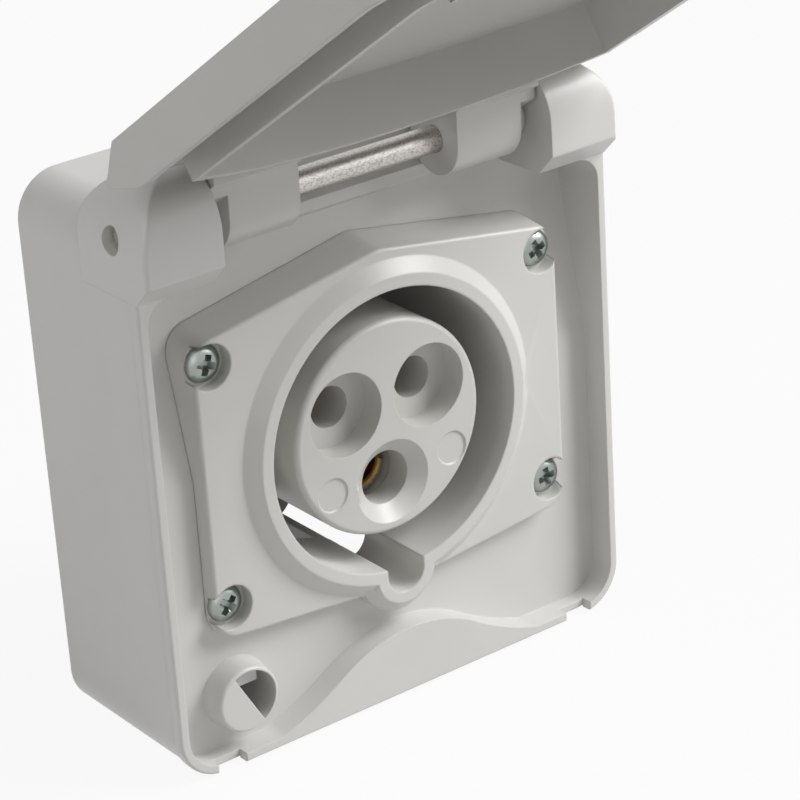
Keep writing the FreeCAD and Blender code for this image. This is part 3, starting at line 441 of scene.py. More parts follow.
@dataclass(frozen=True)
class ZincPlate(CloudedSurface):
    """Bright zinc plating with a faint greenish tint."""

    cloud: Grain = Grain(700.0, 3.0, 0.55)
    fine: Grain = Grain(4200.0, 2.0, 0.6)
    roughness: float = 0.24
    fine_dulls: float = 0.16


@dataclass(frozen=True)
class MachinedBrass(CloudedSurface):
    """Turned brass with fine tool marks."""

    cloud: Grain = Grain(300.0, 2.0, 0.5)
    fine: Grain = Grain(1500.0, 3.0, 0.5, (0.4, 5.0, 0.4))
    roughness: float = 0.28
    fine_dulls: float = 0.14


@dataclass(frozen=True)
class SoftRubber(CloudedSurface):
    """Matte rubber with a dusty bloom."""

    cloud: Grain = Grain(260.0, 4.0, 0.6)
    fine: Grain = Grain(5000.0, 2.0, 0.5)
    roughness: float = 0.72
    fine_dulls: float = 0.18
    relief: float = 1e-5
    metallic: float = 0.0


@dataclass
class Finishes:
    """All finishes of the socket, made once, each named after its slot."""

    housing: bpy.types.Material = field(init=False)
    plate: bpy.types.Material = field(init=False)
    carrier: bpy.types.Material = field(init=False)
    lid: bpy.types.Material = field(init=False)
    knob: bpy.types.Material = field(init=False)
    rubber: bpy.types.Material = field(init=False)
    brass: bpy.types.Material = field(init=False)
    steel: bpy.types.Material = field(init=False)
    zinc: bpy.types.Material = field(init=False)

    def __post_init__(self) -> None:
        """Build every material."""
        kinds = {
            "housing": MouldedPlastic("housing_plastic", srgb(214, 213, 210)),
            "plate": MouldedPlastic("plate_plastic", srgb(212, 211, 207), softness=5e-4),
            "carrier": MouldedPlastic(
                "carrier_plastic", srgb(205, 204, 200), roughness=0.36, softness=2e-4
            ),
            "lid": MouldedPlastic("lid_plastic", srgb(202, 200, 196)),
            "knob": MouldedPlastic("knob_plastic", srgb(196, 194, 190), roughness=0.42),
            "rubber": SoftRubber("seal_rubber", srgb(58, 58, 57), srgb(84, 83, 80)),
            "brass": MachinedBrass("contact_brass", srgb(206, 168, 98), srgb(170, 130, 74)),
            "steel": SpeckledSteel("pin_steel", srgb(212, 208, 204), srgb(128, 124, 120)),
            "zinc": ZincPlate("zinc_plate", srgb(172, 176, 172), srgb(138, 146, 141)),
        }
        for slot, kind in kinds.items():
            setattr(self, slot, kind.paint())

    def for_slot(self, slot: str) -> bpy.types.Material:
        """Material of one of the record's slots."""
        return getattr(self, slot)


@dataclass(frozen=True)
class Thread:
    """Sizes of a wound thread ridge, in millimetres where not said otherwise.

    The foot is a share of the pitch, and the taper is the share of its radius
    to which each end of the ridge shrinks.
    """

    core: float = 1.2
    crest: float = 1.58
    pitch: float = 1.25
    flat: float = 0.06
    foot: float = 0.35
    sunk: float = 0.05
    taper: float = 0.72
    sides: int = 18


class Workpiece:
    """A mesh in the making, with the steps that several pieces share."""

    def __init__(self, name: str) -> None:
        """Start with an empty mesh."""
        self.name = name
        self.mesh = bmesh.new()

    def point_outwards(self) -> None:
        """Turn all faces to the outside."""
        bmesh.ops.recalc_face_normals(self.mesh, faces=self.mesh.faces[:])

    def spin(
        self, parts: list, angle: float, steps: int, rise: float = 0.0, closed: bool = False
    ) -> list:
        """Spin parts of the mesh round the Y axis.

        Args:
            parts: Corners, edges and faces to spin.
            angle: Whole angle in radians.
            steps: Number of sides.
            rise: Way along the axis of each step in metres.
            closed: Whether the last side meets the first.

        Returns:
            The corners at the end.
        """
        spun = bmesh.ops.spin(
            self.mesh,
            geom=parts,
            cent=ORIGIN,
            axis=SPIN_AXIS,
            dvec=(0.0, rise, 0.0),
            angle=angle,
            steps=steps,
            use_merge=closed,
        )
        return [part for part in spun["geom_last"] if isinstance(part, bmesh.types.BMVert)]

    def spin_outline(self, outline: list[tuple[float, float]], steps: int = 40) -> None:
        """Spin an outline round the Y axis into a closed body.

        Args:
            outline: Pairs of radius and depth in millimetres, from axis to axis.
            steps: Number of sides.
        """
        points = [
            self.mesh.verts.new((radius * MM, depth * MM, 0.0)) for radius, depth in outline
        ]
        lines = [self.mesh.edges.new(pair) for pair in zip(points, points[1:])]
        self.spin(points + lines, 2 * math.pi, steps, closed=True)
        bmesh.ops.remove_doubles(self.mesh, verts=self.mesh.verts[:], dist=SPUN_JOIN)
        self.point_outwards()

    def spin_thread(self, thread: Thread, start: float, end: float) -> None:
        """Wind one thread ridge round the Y axis.

        Args:
            thread: Sizes of the ridge.
            start: Depth of the first turn in millimetres.
            end: Depth at which it stops.
        """
        turns = (end - start) / thread.pitch
        root, crest = thread.core - thread.sunk, thread.crest
        foot, flat = thread.foot * thread.pitch, thread.flat
        ridge = ((root, -foot), (crest, -flat), (crest, flat), (root, foot))
        points = [
            self.mesh.verts.new((radius * MM, (start + depth) * MM, 0.0)) for radius, depth in ridge
        ]
        first = self.mesh.faces.new(points)
        last = self.spin(
            points + first.edges[:] + [first],
            2 * math.pi * turns,
            round(turns * thread.sides),
            rise=thread.pitch * MM / thread.sides,
        )
        for tip in (points, last):
            bmesh.ops.scale(self.mesh, vec=(thread.taper, 1.0, thread.taper), verts=tip)
        self.point_outwards()

    def sweep_band(
        self,
        centre: tuple[float, float],
        size: tuple[float, float],
        first: float,
        angle: float,
        steps: int,
    ) -> None:
        """Sweep a rectangle round the Y axis.

        Args:
            centre: Radius and depth of the rectangle's middle in metres.
            size: Its extent along the radius and along the axis in metres.
            first: Angle at which it starts in degrees.
            angle: Angle that it sweeps in degrees.
            steps: Number of sides.
        """
        made = bmesh.ops.create_grid(self.mesh, x_segments=1, y_segments=1, size=0.5)["verts"]
        bmesh.ops.scale(self.mesh, vec=(*size, 1.0), verts=made)
        bmesh.ops.translate(self.mesh, vec=(*centre, 0.0), verts=made)
        turned = Matrix.Rotation(math.radians(first), 3, "Y")
        bmesh.ops.rotate(self.mesh, cent=ORIGIN, matrix=turned, verts=made)
        parts = self.mesh.verts[:] + self.mesh.edges[:] + self.mesh.faces[:]
        self.spin(parts, math.radians(angle), steps)
        self.point_outwards()

    def add_block(self, low: Place, high: Place, foot: float = 1.0, bevel: float = 0.0) -> None:
        """Add a block between two corners that may narrow with depth.

        Args:
            low: Lowest corner in millimetres.
            high: Highest corner.
            foot: Share of its size that is left at the greatest depth.
            bevel: Rounding of its edges, nothing where 0.
        """
        size = [b - a for a, b in zip(low, high)]
        centre = [(a + b) / 2 * MM for a, b in zip(low, high)]
        made = bmesh.ops.create_cube(self.mesh, size=MM)["verts"]
        bmesh.ops.scale(self.mesh, vec=size, verts=made)
        deep = [vert for vert in made if vert.co.y > 0]
        bmesh.ops.scale(self.mesh, vec=(foot, 1.0, foot), verts=deep)
        bmesh.ops.translate(self.mesh, vec=centre, verts=made)
        if bevel:
            bmesh.ops.bevel(
                self.mesh,
                geom=list({edge for vert in made for edge in vert.link_edges}),
                offset=bevel * MM,
                segments=3,
                profile=0.5,
                affect="EDGES",
                material=-1,
            )

    def slice_across(self, shortest: float, cuts: int) -> None:
        """Cut the edges that run across, so that the piece can be bent.

        Args:
            shortest: Width in metres that an edge has to pass.
            cuts: Number of cuts.
        """
        rails = []
        for edge in self.mesh.edges:
            start, end = edge.verts
            if abs(start.co.x - end.co.x) > shortest:
                rails.append(edge)
        bmesh.ops.subdivide_edges(self.mesh, edges=rails, cuts=cuts, use_grid_fill=True)

    def loose(self) -> bpy.types.Object:
        """Object of the mesh as it is, outside the finished scene.

        Returns:
            The object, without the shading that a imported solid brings.
        """
        mesh = bpy.data.meshes.new(self.name)
        self.mesh.to_mesh(mesh)
        if "custom_normal" in mesh.attributes:
            mesh.attributes.remove(mesh.attributes["custom_normal"])
        return stand(self.name, mesh)

    def clean(self, join: float, shortest: float) -> None:
        """Join corners and dissolve tiny edges, both within metres."""
        bmesh.ops.remove_doubles(self.mesh, verts=self.mesh.verts[:], dist=join)
        bmesh.ops.dissolve_degenerate(self.mesh, dist=shortest, edges=self.mesh.edges[:])

    def copy_node(self, node: str) -> None:
        """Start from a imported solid's triangles, joined at their corners."""
        self.mesh.from_mesh(frame["nodes"][node].data)
        self.clean(SOLID_JOIN, SHORTEST_EDGE)

    def combine(self, tool: Workpiece, way: Combine) -> None:
        """Join another workpiece to this one, or take its space out.

        Args:
            tool: The other workpiece.
            way: Whether it is added or cut away.
        """
        body, cutter = self.loose(), tool.loose()
        cut = body.modifiers.new("cut", "BOOLEAN")
        cut.operation = way.value
        cut.solver = "MANIFOLD"
        cut.object = cutter
        shaped = body.evaluated_get(bpy.context.evaluated_depsgraph_get())
        self.mesh.clear()
        self.mesh.from_mesh(shaped.to_mesh())
        for piece in (body, cutter):
            bpy.data.objects.remove(piece)

    def move(self, matrix: Matrix) -> None:
        """Turn and move the whole mesh."""
        bmesh.ops.transform(self.mesh, matrix=matrix, verts=self.mesh.verts[:])

    def finish(
        self,
        body: Body,
        slot: str,
        paint: bpy.types.Material,
        *nodes: str,
        crease: float = MADE_CREASE,
    ) -> None:
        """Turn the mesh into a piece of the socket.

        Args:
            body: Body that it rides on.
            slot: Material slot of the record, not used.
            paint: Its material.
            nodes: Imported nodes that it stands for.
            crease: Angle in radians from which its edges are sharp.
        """
        for face in self.mesh.faces:
            face.smooth = True
        for edge in self.mesh.edges:
            edge.smooth = len(edge.link_faces) == 2 and edge.calc_face_angle(0.0) < crease
        piece = self.loose()
        piece.data.materials.clear()
        piece.data.materials.append(paint)
        weights = piece.modifiers.new("weights", "WEIGHTED_NORMAL")
        weights.keep_sharp = True
        weights.weight = FACE_WEIGHT
        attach(piece, body.value)
        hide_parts(*nodes)
        log.info("made %s with %d faces", self.name, len(self.mesh.faces))
        self.mesh.free()


@dataclass
class CrossScrew:
    """Domed self-tapping screw with a cross recess and a wound thread.

    The dome is given as shares of the head's radius with their depths. The
    ticks are the small marks between the arms, and turns are in degrees.
    """

    node: str
    turn: float
    facing: Facing = Facing.USER
    dome: Outline = ((0.0, 0.0), (0.34, 0.02), (0.58, 0.14), (0.78, 0.38), (0.93, 0.78), (1.0, 1.2))
    head_height: float = 1.5
    rim_chamfer: float = 0.08
    point_length: float = 1.1
    tip_radius: float = 0.35
    tip_length: float = 0.15
    thread: Thread = Thread()
    thread_gap: float = 0.9
    thread_end: float = 1.4
    arm_width: float = 1.25
    arm_span: float = 3.7
    recess_depth: float = 1.3
    recess_foot: float = 0.55
    recess_start: float = -0.3
    tick_width: float = 0.28
    tick_share: float = 0.72
    tick_depth: float = 0.32
    arm_turns: tuple[float, ...] = (0.0, 90.0)
    tick_turns: tuple[float, ...] = (45.0, 135.0)

    def recess(self, angle: float, width: float, span: float, depth: float) -> Workpiece:
        """Space of one arm of the recess, narrowing with depth.

        Args:
            angle: Turn of the arm in degrees.
            width: Width of the arm in millimetres.
            span: Length of the arm across the head.
            depth: Depth of the arm.

        Returns:
            The space.
        """
        arm = Workpiece(f"{self.node}_arm")
        low = (-span / 2, self.recess_start, -width / 2)
        arm.add_block(low, (span / 2, depth, width / 2), self.recess_foot)
        arm.move(Matrix.Rotation(math.radians(angle), 4, "Y"))
        return arm

    def build(self, finishes: Finishes) -> None:
        """Make the screw where its node stands.

        Args:
            finishes: The socket's finishes.
        """
        low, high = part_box(self.node)
        length = (high[1] - low[1]) / MM
        radius = (high[0] - low[0]) / MM / 2
        core, seat = self.thread.core, self.head_height
        screw = Workpiece(f"{self.node}_cross")
        screw.spin_outline([
            *((share * radius, depth) for share, depth in self.dome),
            (radius, seat - self.rim_chamfer), (radius - self.rim_chamfer, seat), (core, seat),
            (core, length - self.point_length), (self.tip_radius, length - self.tip_length),
            (0.0, length),
        ])
        arm = (self.arm_width, self.arm_span, self.recess_depth)
        tick = (self.tick_width, self.arm_span * self.tick_share, self.tick_depth)
        for angles, size in ((self.arm_turns, arm), (self.tick_turns, tick)):
            for angle in angles:
                screw.combine(self.recess(angle, *size), Combine.CUT)
        screw.spin_thread(self.thread, seat + self.thread_gap, length - self.thread_end)
        screw.move(Matrix.Rotation(math.radians(self.turn), 4, "Y"))
        head = low[1]
        if self.facing is Facing.WALL:
            screw.move(Matrix.Rotation(math.pi, 4, "Z"))
            head = high[1]
        across, _, up = middle(low, high)
        screw.move(Matrix.Translation((across, head, up)))
        screw.finish(Body.BASE, "zinc", finishes.zinc, self.node)


@dataclass
class HingePin:
    """Cast steel pin between the lugs, chamfered at its ends."""

    node: str = "hinge_pin"
    chamfer: float = 0.4
    sides: int = 56

    def build(self, finishes: Finishes) -> None:
        """Make the pin where its node stands.

        Args:
            finishes: The socket's finishes.
        """
        low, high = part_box(self.node)
        length = (high[0] - low[0]) / MM
        radius = (high[2] - low[2]) / MM / 2
        inner = radius - self.chamfer
        pin = Workpiece("hinge_pin_rod")
        pin.spin_outline([
            (0.0, 0.0), (inner, 0.0), (radius, self.chamfer),
            (radius, length - self.chamfer), (inner, length), (0.0, length),
        ], self.sides)
        pin.move(Matrix.Rotation(-math.pi / 2, 4, "Z"))
        _, depth, up = middle(low, high)
        pin.move(Matrix.Translation((low[0], depth, up)))
        pin.finish(Body.BASE, "steel", finishes.steel, self.node)


@dataclass
class SpringRing:
    """Open ring of steel band round one contact tube, its gap in degrees."""

    node: str
    band: float = 0.45
    gap: float = 18.0
    sides: int = 44

    def build(self, finishes: Finishes) -> None:
        """Make the ring where its node stands.

        Args:
            finishes: The socket's finishes.
        """
        low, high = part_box(self.node)
        outer = (high[2] - low[2]) / 2
        centre = (outer - self.band * MM / 2, 0.0)
        size = (self.band * MM, high[1] - low[1])
        ring = Workpiece(f"{self.node}_band")
        ring.sweep_band(centre, size, self.gap / 2, 360.0 - self.gap, self.sides)
        ring.move(Matrix.Translation(middle(low, high)))
        ring.finish(Body.BASE, "steel", finishes.steel, self.node)


@dataclass
class LatchKnob:
    """Fluted knob with a finger bar and a spindle through the lid.

    Known fault: the disc and its bar come out on the lid's inner side and the
    spindle's end outside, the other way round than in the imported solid.
    """

    node: str = "latch_knob"
    flutes: int = 30
    sides_per_flute: int = 6
    flute_depth: float = 0.035
    rim_band: float = 0.05
    edge: float = 0.8
    edge_cut: float = 0.23
    rise: float = 2.2
    bar_rise: float = 3.6
    bar_half_width: float = 1.9
    bar_share: float = 0.86
    bar_foot: float = 1.0
    bar_bevel: float = 0.45
    spindle_radius: float = 2.8

    def flute(self, knob: Workpiece, radius: float) -> None:
        """Press grip flutes into the knob's rim.

        Args:
            knob: The knob, spun round the Y axis.
            radius: Radius of its rim in millimetres.
        """
        for vert in knob.mesh.verts:
            across = math.hypot(vert.co.x, vert.co.z)
            if across > (radius - self.rim_band) * MM:
                angle = math.atan2(vert.co.z, vert.co.x)
                share = 1.0 - self.flute_depth * max(0.0, math.cos(self.flutes * angle))
                vert.co.x *= share
                vert.co.z *= share

    def build(self, finishes: Finishes) -> None:
        """Make the knob on the latch's axis.

        Args:
            finishes: The socket's finishes.
        """
        joint = joint_of("latch_turn")
        axis = Vector(joint["axis"]).normalized()
        centre = Vector(joint["pos_m"])
        corners = [vert.co - centre for vert in frame["nodes"][self.node].data.vertices]
        along = [corner.dot(axis) / MM for corner in corners]
        front, back = max(along), min(along)
        seat = front - self.bar_rise
        top = seat + self.rise
        radius = max(corner.cross(axis).length for corner in corners) / MM
        knob = Workpiece("latch_knob_grip")
        knob.spin_outline([
            (0.0, -top), (radius - self.edge, -top),
            (radius - self.edge_cut, -(top - self.edge_cut)), (radius, -(top - self.edge)),
            (radius, -seat), (self.spindle_radius, -seat), (self.spindle_radius, -back),
            (0.0, -back),
        ], self.flutes * self.sides_per_flute)
        self.flute(knob, radius)
        half = radius * self.bar_share
        knob.add_block(
            (-half, -front, -self.bar_half_width),
            (half, -(seat + self.bar_foot), self.bar_half_width),
            bevel=self.bar_bevel,
        )
        turn = (-axis).to_track_quat("Y", "Z").to_matrix().to_4x4()
        knob.move(Matrix.Translation(centre) @ turn)
        knob.finish(Body.LATCH, "knob", finishes.knob, self.node)


@dataclass
class LidFrame:
    """Places in the lid, measured from its hinge axis in millimetres.

    A place is its width, its depth towards the lid's front and its drop from
    the hinge towards the free end, all as in the shut lid.
    """

    open_angle: float = math.radians(123.7)

    def matrix(self) -> Matrix:
        """Turn from lid places, in metres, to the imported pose.

        Returns:
            The matrix.
        """
        sine, cosine = math.sin(self.open_angle), math.cos(self.open_angle)
        depth = Vector((0.0, -cosine, sine))
        drop = Vector((0.0, -sine, -cosine))
        turned = Matrix((Vector((1.0, 0.0, 0.0)), depth, drop)).transposed().to_4x4()
        return Matrix.Translation(Vector(joint_of("lid_hinge")["pos_m"])) @ turned


@dataclass
class LidArch:
    """Arched end wall inside the lid and the hood that closes it behind.

    Lengths are in millimetres. Pairs are depths and drops.
    """

    node: str = "lid"
    half_width: float = 37.6
    room_half_width: float = 31.0
    room_start: float = -1.0
    apex: float = 9.13
    radius: float = 76.8
    edge: float = 1.35
    wall: float = 1.25
    wall_in_skin: float = 0.7
    skin_depth: float = 12.1
    skin: float = 1.4
    crown_radius: float = 637.0
    clear_drop: float = 24.0
    hood_half_width: float = 29.7
    hood_start: float = 6.3
    hood_corner: Outline = ((11.1, 4.65), (11.8, 5.2), (12.08, 6.2))
    hood_back: float = 4.65
    hood_inside: float = 6.0
    hood_end: float = 18.2
    hood_sunk: float = 0.02
    bend_start: float = 6.0
    bend_length: float = 6.0
    steps: int = 48

    def crown(self, across: float, share: float = 1.0) -> float:
        """Share of the crown's drop, in metres, at a width in millimetres."""
        return share * across**2 / (2 * self.crown_radius) * MM

    def curve(self, piece: Workpiece) -> None:
        """Bend a flat piece to the arch and to the crown of the lid.

        Args:
            piece: The piece, in lid places.
        """
        for vert in piece.mesh.verts:
            across = vert.co.x / MM
            if vert.co.z < 0.5 * self.clear_drop * MM:
                vert.co.z += (self.radius - math.sqrt(self.radius**2 - across**2)) * MM
            if vert.co.y > 0.5 * self.skin_depth * MM:
                vert.co.y -= self.crown(across)

    def slab(
        self, name: str, half: float, low: tuple[float, float], high: tuple[float, float]
    ) -> Workpiece:
        """Closed block across the lid, sliced and bent to its curves.

        Args:
            name: Name of the block.
            half: Half of its width.
            low: Depth and drop of its lowest corner.
            high: Depth and drop of its highest corner.

        Returns:
            The block, in lid places.
        """
        piece = Workpiece(name)
        piece.add_block((-half, *low), (half, *high))
        piece.slice_across(half * MM, self.steps)
        self.curve(piece)
        return piece

    def space(self) -> Workpiece:
        """Room inside the arch that has to be clear.

        Returns:
            The room, in lid places.
        """
        low = (self.room_start, self.apex)
        high = (self.skin_depth - self.skin, self.clear_drop)
        return self.slab("lid_room", self.room_half_width, low, high)

    def end_wall(self) -> Workpiece:
        """Arched wall from the lid's edge to its skin.

        Returns:
            The wall, in lid places.
        """
        low = (self.edge, self.apex - self.wall)
        high = (self.skin_depth - self.wall_in_skin, self.apex)
        return self.slab("lid_end_wall", self.half_width, low, high)

    def hood(self) -> Workpiece:
        """Bent skin between the lugs that closes the lid behind the arch.

        Returns:
            The hood, in lid places.
        """
        hood = Workpiece("lid_hood")
        outer, inner = self.skin_depth - self.hood_sunk, self.skin_depth - self.skin
        outline = (
            (self.hood_start, self.hood_back), *self.hood_corner, (outer, self.hood_end),
            (inner, self.hood_end), (inner, self.hood_inside), (self.hood_start, self.hood_inside),
        )
        start = -self.hood_half_width * MM
        points = [hood.mesh.verts.new((start, depth * MM, drop * MM)) for depth, drop in outline]
        side = hood.mesh.faces.new(points)
        far = bmesh.ops.extrude_face_region(hood.mesh, geom=[side])["geom"]
        moved = [part for part in far if isinstance(part, bmesh.types.BMVert)]
        width = 2 * self.hood_half_width * MM
        bmesh.ops.translate(hood.mesh, vec=(width, 0.0, 0.0), verts=moved)
        hood.slice_across(self.hood_half_width * MM, self.steps)
        hood.point_outwards()
        for vert in hood.mesh.verts:
            share = min(1.0, max(0.0, (vert.co.y / MM - self.bend_start) / self.bend_length))
            vert.co.y -= self.crown(vert.co.x / MM, share)
        return hood

    def build(self, finishes: Finishes) -> None:
        """Reshape a copy of the lid and make it the seen lid.

        Args:
            finishes: The socket's finishes.
        """
        lid = Workpiece("lid_dressed")
        lid.copy_node(self.node)
        place = LidFrame().matrix()
        steps = (
            (self.space(), Combine.CUT), (self.end_wall(), Combine.ADD), (self.hood(), Combine.ADD),
        )
        for tool, way in steps:
            tool.move(place)
            lid.combine(tool, way)
        lid.finish(Body.LID, "lid", finishes.lid, self.node)


@dataclass
class SleevePlate:
    """Socket plate whose keyway is open to the rear past a short channel.

    Each span holds the first and last angle below the width axis in degrees,
    and the first and last depth in millimetres.
    """

    node: str = "socket_plate"
    inner: float = 22.0
    outer: float = 29.6
    spans: tuple[tuple[float, float, float, float], ...] = (
        (73.0, 99.0, -16.5, 5.9),
        (90.0, 99.0, -19.8, -19.2),
    )
    sides: int = 20

    def window(self, first: float, last: float, start: float, end: float) -> Workpiece:
        """Space of one opening in the sleeve.

        Args:
            first: Angle at which it starts in degrees.
            last: Angle at which it ends.
            start: Depth at which it starts in millimetres.
            end: Depth at which it ends.

        Returns:
            The space.
        """
        window = Workpiece("drain_window")
        centre = ((self.inner + self.outer) / 2 * MM, (start + end) / 2 * MM)
        size = ((self.outer - self.inner) * MM, (end - start) * MM)
        window.sweep_band(centre, size, first, last - first, self.sides)
        return window

    def build(self, finishes: Finishes) -> None:
        """Cut the openings into a copy of the plate.

        Args:
            finishes: The socket's finishes.
        """
        plate = Workpiece("socket_plate_dressed")
        plate.copy_node(self.node)
        for span in self.spans:
            plate.combine(self.window(*span), Combine.CUT)
        plate.finish(Body.BASE, "plate", finishes.plate, self.node)


@dataclass
class ContactInsert:
    """Insert with its contact holes and two plain round places in its face.

    Places are widths and heights of their middles. All is in millimetres,
    apart from the distance within which the levelled face is joined.
    """

    node: str = "contact_carrier"
    face: float = -29.86
    old_places: Outline = ((-9.62, -9.62), (12.33, -5.75))
    old_radius: float = 3.4
    old_depth: float = 0.25
    old_tolerance: float = 0.03
    join: float = 5e-6
    places: Outline = ((-11.3, -7.7), (11.7, -7.4))
    radius: float = 2.8
    depth: float = 0.26
    chamfer: float = 0.2
    lip: float = 0.05
    reach: float = 0.6

    def flatten(self, insert: Workpiece) -> None:
        """Bring the floor of the solid's own shallow places up to the face.

        Args:
            insert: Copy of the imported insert.
        """
        for vert in insert.mesh.verts:
            sunk = vert.co.y / MM - self.face
            if abs(sunk - self.old_depth) > self.old_tolerance:
                continue
            for x, z in self.old_places:
                if math.hypot(vert.co.x / MM - x, vert.co.z / MM - z) < self.old_radius:
                    vert.co.y = self.face * MM
        insert.clean(self.join, self.join)

    def build(self, finishes: Finishes) -> None:
        """Flatten the old places in a copy and press the round ones.

        Args:
            finishes: The socket's finishes.
        """
        insert = Workpiece("contact_insert_dressed")
        insert.copy_node(self.node)
        self.flatten(insert)
        radius, depth = self.radius, self.depth
        for x, z in self.places:
            place = Workpiece("round_place")
            place.spin_outline([
                (0.0, -self.reach), (radius, -self.reach), (radius, self.lip),
                (radius - self.chamfer, depth), (0.0, depth),
            ])
            place.move(Matrix.Translation((x * MM, self.face * MM, z * MM)))
            insert.combine(place, Combine.CUT)
        insert.finish(Body.BASE, "carrier", finishes.carrier, self.node)


@dataclass
class EarthTube:
    """Earth contact whose mouth stands a little deeper in its hole."""

    node: str = "earth_contact"
    set_back: float = 2.4
    mouth: float = 0.8

    def build(self, finishes: Finishes) -> None:
        """Push the mouth of a copy of the tube back.

        Args:
            finishes: The socket's finishes.
        """
        tube = Workpiece("earth_contact_dressed")
        tube.copy_node(self.node)
        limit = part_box(self.node)[0][1] + self.mouth * MM
        front = [vert for vert in tube.mesh.verts if vert.co.y < limit]
        bmesh.ops.translate(tube.mesh, vec=(0.0, self.set_back * MM, 0.0), verts=front)
        tube.finish(Body.BASE, "brass", finishes.brass, self.node)


@dataclass
class DressedSolid:
    """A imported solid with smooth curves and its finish, standing for its node."""

    node: str
    body: Body
    slot: str

    def build(self, finishes: Finishes) -> None:
        """Make the piece.

        Args:
            finishes: The socket's finishes.
        """
        solid = Workpiece(f"{self.node}_dressed")
        solid.copy_node(self.node)
        paint = finishes.for_slot(self.slot)
        solid.finish(self.body, self.slot, paint, self.node, crease=SOLID_CREASE)


@dataclass(frozen=True)
class SoftLamp:
    """One square soft lamp that looks at the socket."""

    name: str
    place: Place
    size: float
    power: float
    target: Place = (0.0, -0.03, 0.0)

    def build(self) -> None:
        """Make the lamp and turn it to its target."""
        lamp = bpy.data.lights.new(self.name, "AREA")
        lamp.shape = "SQUARE"
        lamp.size = self.size
        lamp.energy = self.power
        holder = stand(self.name, lamp)
        holder.location = self.place
        aim = Vector(self.target) - Vector(self.place)
        holder.rotation_euler = aim.to_track_quat("-Z", "Y").to_euler()


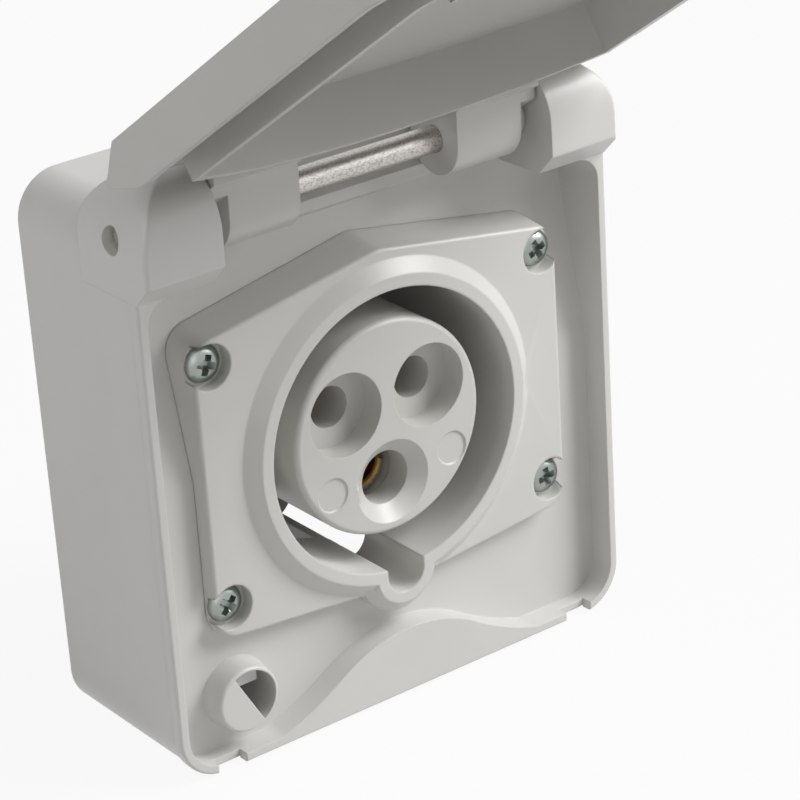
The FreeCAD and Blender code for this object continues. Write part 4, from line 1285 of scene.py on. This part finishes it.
@dataclass
class Studio:
    """Camera, lamps, pale surroundings and the floor."""

    camera_place: Place = (-0.2454, -0.3680, 0.1936)
    camera_turn: float = math.radians(-36.311)
    camera_rise: float = math.radians(24.162)
    camera_roll: float = math.radians(-3.673)
    lens: float = 135.92
    sensor: float = 36.0
    shift: tuple[float, float] = (-0.00414, -0.0131)
    nearest: float = 0.01
    lamps: tuple[SoftLamp, ...] = (
        SoftLamp("key_lamp", (0.60, -0.50, 0.70), 0.5, 8.3),
        SoftLamp("side_lamp", (0.80, -0.55, 0.45), 0.5, 3.3),
        SoftLamp("rear_lamp", (-0.80, 0.15, 0.50), 0.8, 3.1),
        SoftLamp("fill_lamp", (-0.45, -0.85, 0.30), 0.6, 0.8),
        SoftLamp("high_lamp", (0.05, -0.62, 0.85), 0.6, 0.9),
    )
    sky: float = 0.03
    floor_half: float = 3.0
    floor_gap: float = 0.0004
    floor_grain: Grain = Grain(40.0)
    floor_dark: Colour = (0.58, 0.58, 0.58)
    floor_light: Colour = (0.62, 0.62, 0.62)
    floor_roughness: float = 0.8
    floor_glow: float = 0.92

    def camera(self) -> None:
        """Stand the camera where the photograph was taken."""
        turn, rise, roll = self.camera_turn, self.camera_rise, self.camera_roll
        flat = math.cos(rise)
        back = Vector((math.sin(turn) * flat, -math.cos(turn) * flat, math.sin(rise)))
        right = Vector((math.cos(turn), math.sin(turn), 0.0))
        up = back.cross(right)
        rolled_right = right * math.cos(roll) + up * math.sin(roll)
        rolled_up = up * math.cos(roll) - right * math.sin(roll)
        data = bpy.data.cameras.new("photo_camera")
        data.lens = self.lens
        data.sensor_width = self.sensor
        data.shift_x, data.shift_y = self.shift
        data.clip_start = self.nearest
        holder = stand("photo_camera", data)
        turned = Matrix((rolled_right, rolled_up, back)).transposed().to_4x4()
        holder.matrix_world = Matrix.Translation(self.camera_place) @ turned
        bpy.context.scene.camera = holder

    def surroundings(self) -> None:
        """Pale even sky that is seen as white."""
        world = bpy.data.worlds.new("pale_sky")
        world.use_nodes = True
        bpy.context.scene.world = world
        sky = NodeMaker(world.node_tree)
        output = sky.tree.nodes.new("ShaderNodeOutputWorld")
        strength = sky.seen_or_shiny() * (1.0 - self.sky) + self.sky
        light = sky.node("ShaderNodeBackground", {}, {"Color": WHITE, "Strength": strength})
        sky.connect(output.inputs["Surface"], light)

    def floor_paint(self) -> bpy.types.Material:
        """Pale floor that is seen as nearly white.

        Returns:
            The material.
        """
        paint = Paint("floor_paint")
        base = paint.blend(self.floor_dark, self.floor_light, paint.noise(self.floor_grain))
        paint.set(Base_Color=base, Roughness=self.floor_roughness)
        white = {"Color": WHITE, "Strength": 1.0}
        glow = paint.node("ShaderNodeEmission", {}, white, "Emission")
        share = paint.seen_or_shiny() * self.floor_glow
        values = {0: share, 1: paint.shader.outputs["BSDF"], 2: glow}
        mixed = paint.node("ShaderNodeMixShader", {}, values)
        paint.connect(paint.output.inputs["Surface"], mixed)
        return paint.material

    def floor(self, low: float) -> None:
        """Lay a pale floor under the socket.

        Args:
            low: Height of the socket's lowest point in metres.
        """
        shape = bmesh.new()
        bmesh.ops.create_grid(shape, x_segments=1, y_segments=1, size=self.floor_half)
        bmesh.ops.translate(shape, vec=(0.0, 0.0, low - self.floor_gap), verts=shape.verts[:])
        mesh = bpy.data.meshes.new("floor")
        shape.to_mesh(mesh)
        shape.free()
        mesh.materials.append(self.floor_paint())
        stand("floor", mesh)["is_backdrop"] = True

    def build(self, low: float) -> None:
        """Make the whole studio.

        Args:
            low: Height of the socket's lowest point in metres.
        """
        self.camera()
        self.surroundings()
        self.floor(low)
        for lamp in self.lamps:
            lamp.build()
        bpy.context.scene.view_settings.view_transform = "Standard"


class Piece(Protocol):
    """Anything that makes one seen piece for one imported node."""

    node: str

    def build(self, finishes: Finishes) -> None:
        """Make the piece."""


def fine_pieces() -> list[Piece]:
    """Pieces that are modelled finer than their solids.

    Returns:
        The pieces, in the order in which they are made.
    """
    turns = {"top_left": 20.0, "top_right": 65.0, "bottom_left": 40.0, "bottom_right": 80.0}
    screws = [CrossScrew(f"plate_screw_{place}", turn) for place, turn in turns.items()]
    screws += [CrossScrew(f"carrier_screw_{side}", 30.0, Facing.WALL) for side in ("left", "right")]
    rings = [SpringRing(f"{name}_spring") for name in ("line", "neutral", "earth")]
    single = [HingePin(), LatchKnob(), LidArch(), SleevePlate(), ContactInsert(), EarthTube()]
    return [*screws, *rings, *single]


def plain_pieces(made: set[str]) -> list[Piece]:
    """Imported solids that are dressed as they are.

    Args:
        made: Nodes that finer pieces stand for.

    Returns:
        One piece for each other node.
    """
    record = frame["record"]
    bodies = record["behaviour"]["bodies"]
    body_of = {name: Body(body) for body, members in bodies.items() for name in members}
    slot_of = {part["node"]: part["material_slot"] for part in record["subparts"]}
    return [
        DressedSolid(node, body_of[node], slot_of[node])
        for node in frame["nodes"]
        if node not in made
    ]


def main() -> None:
    """Build the scene."""
    logging.basicConfig(level=logging.INFO, format="%(message)s")
    cad_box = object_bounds()
    finishes = Finishes()
    pieces = fine_pieces()
    pieces += plain_pieces({piece.node for piece in pieces})
    for piece in pieces:
        piece.build(finishes)
    Studio().build(cad_box[0][2])


if __name__ == "__main__":
    main()
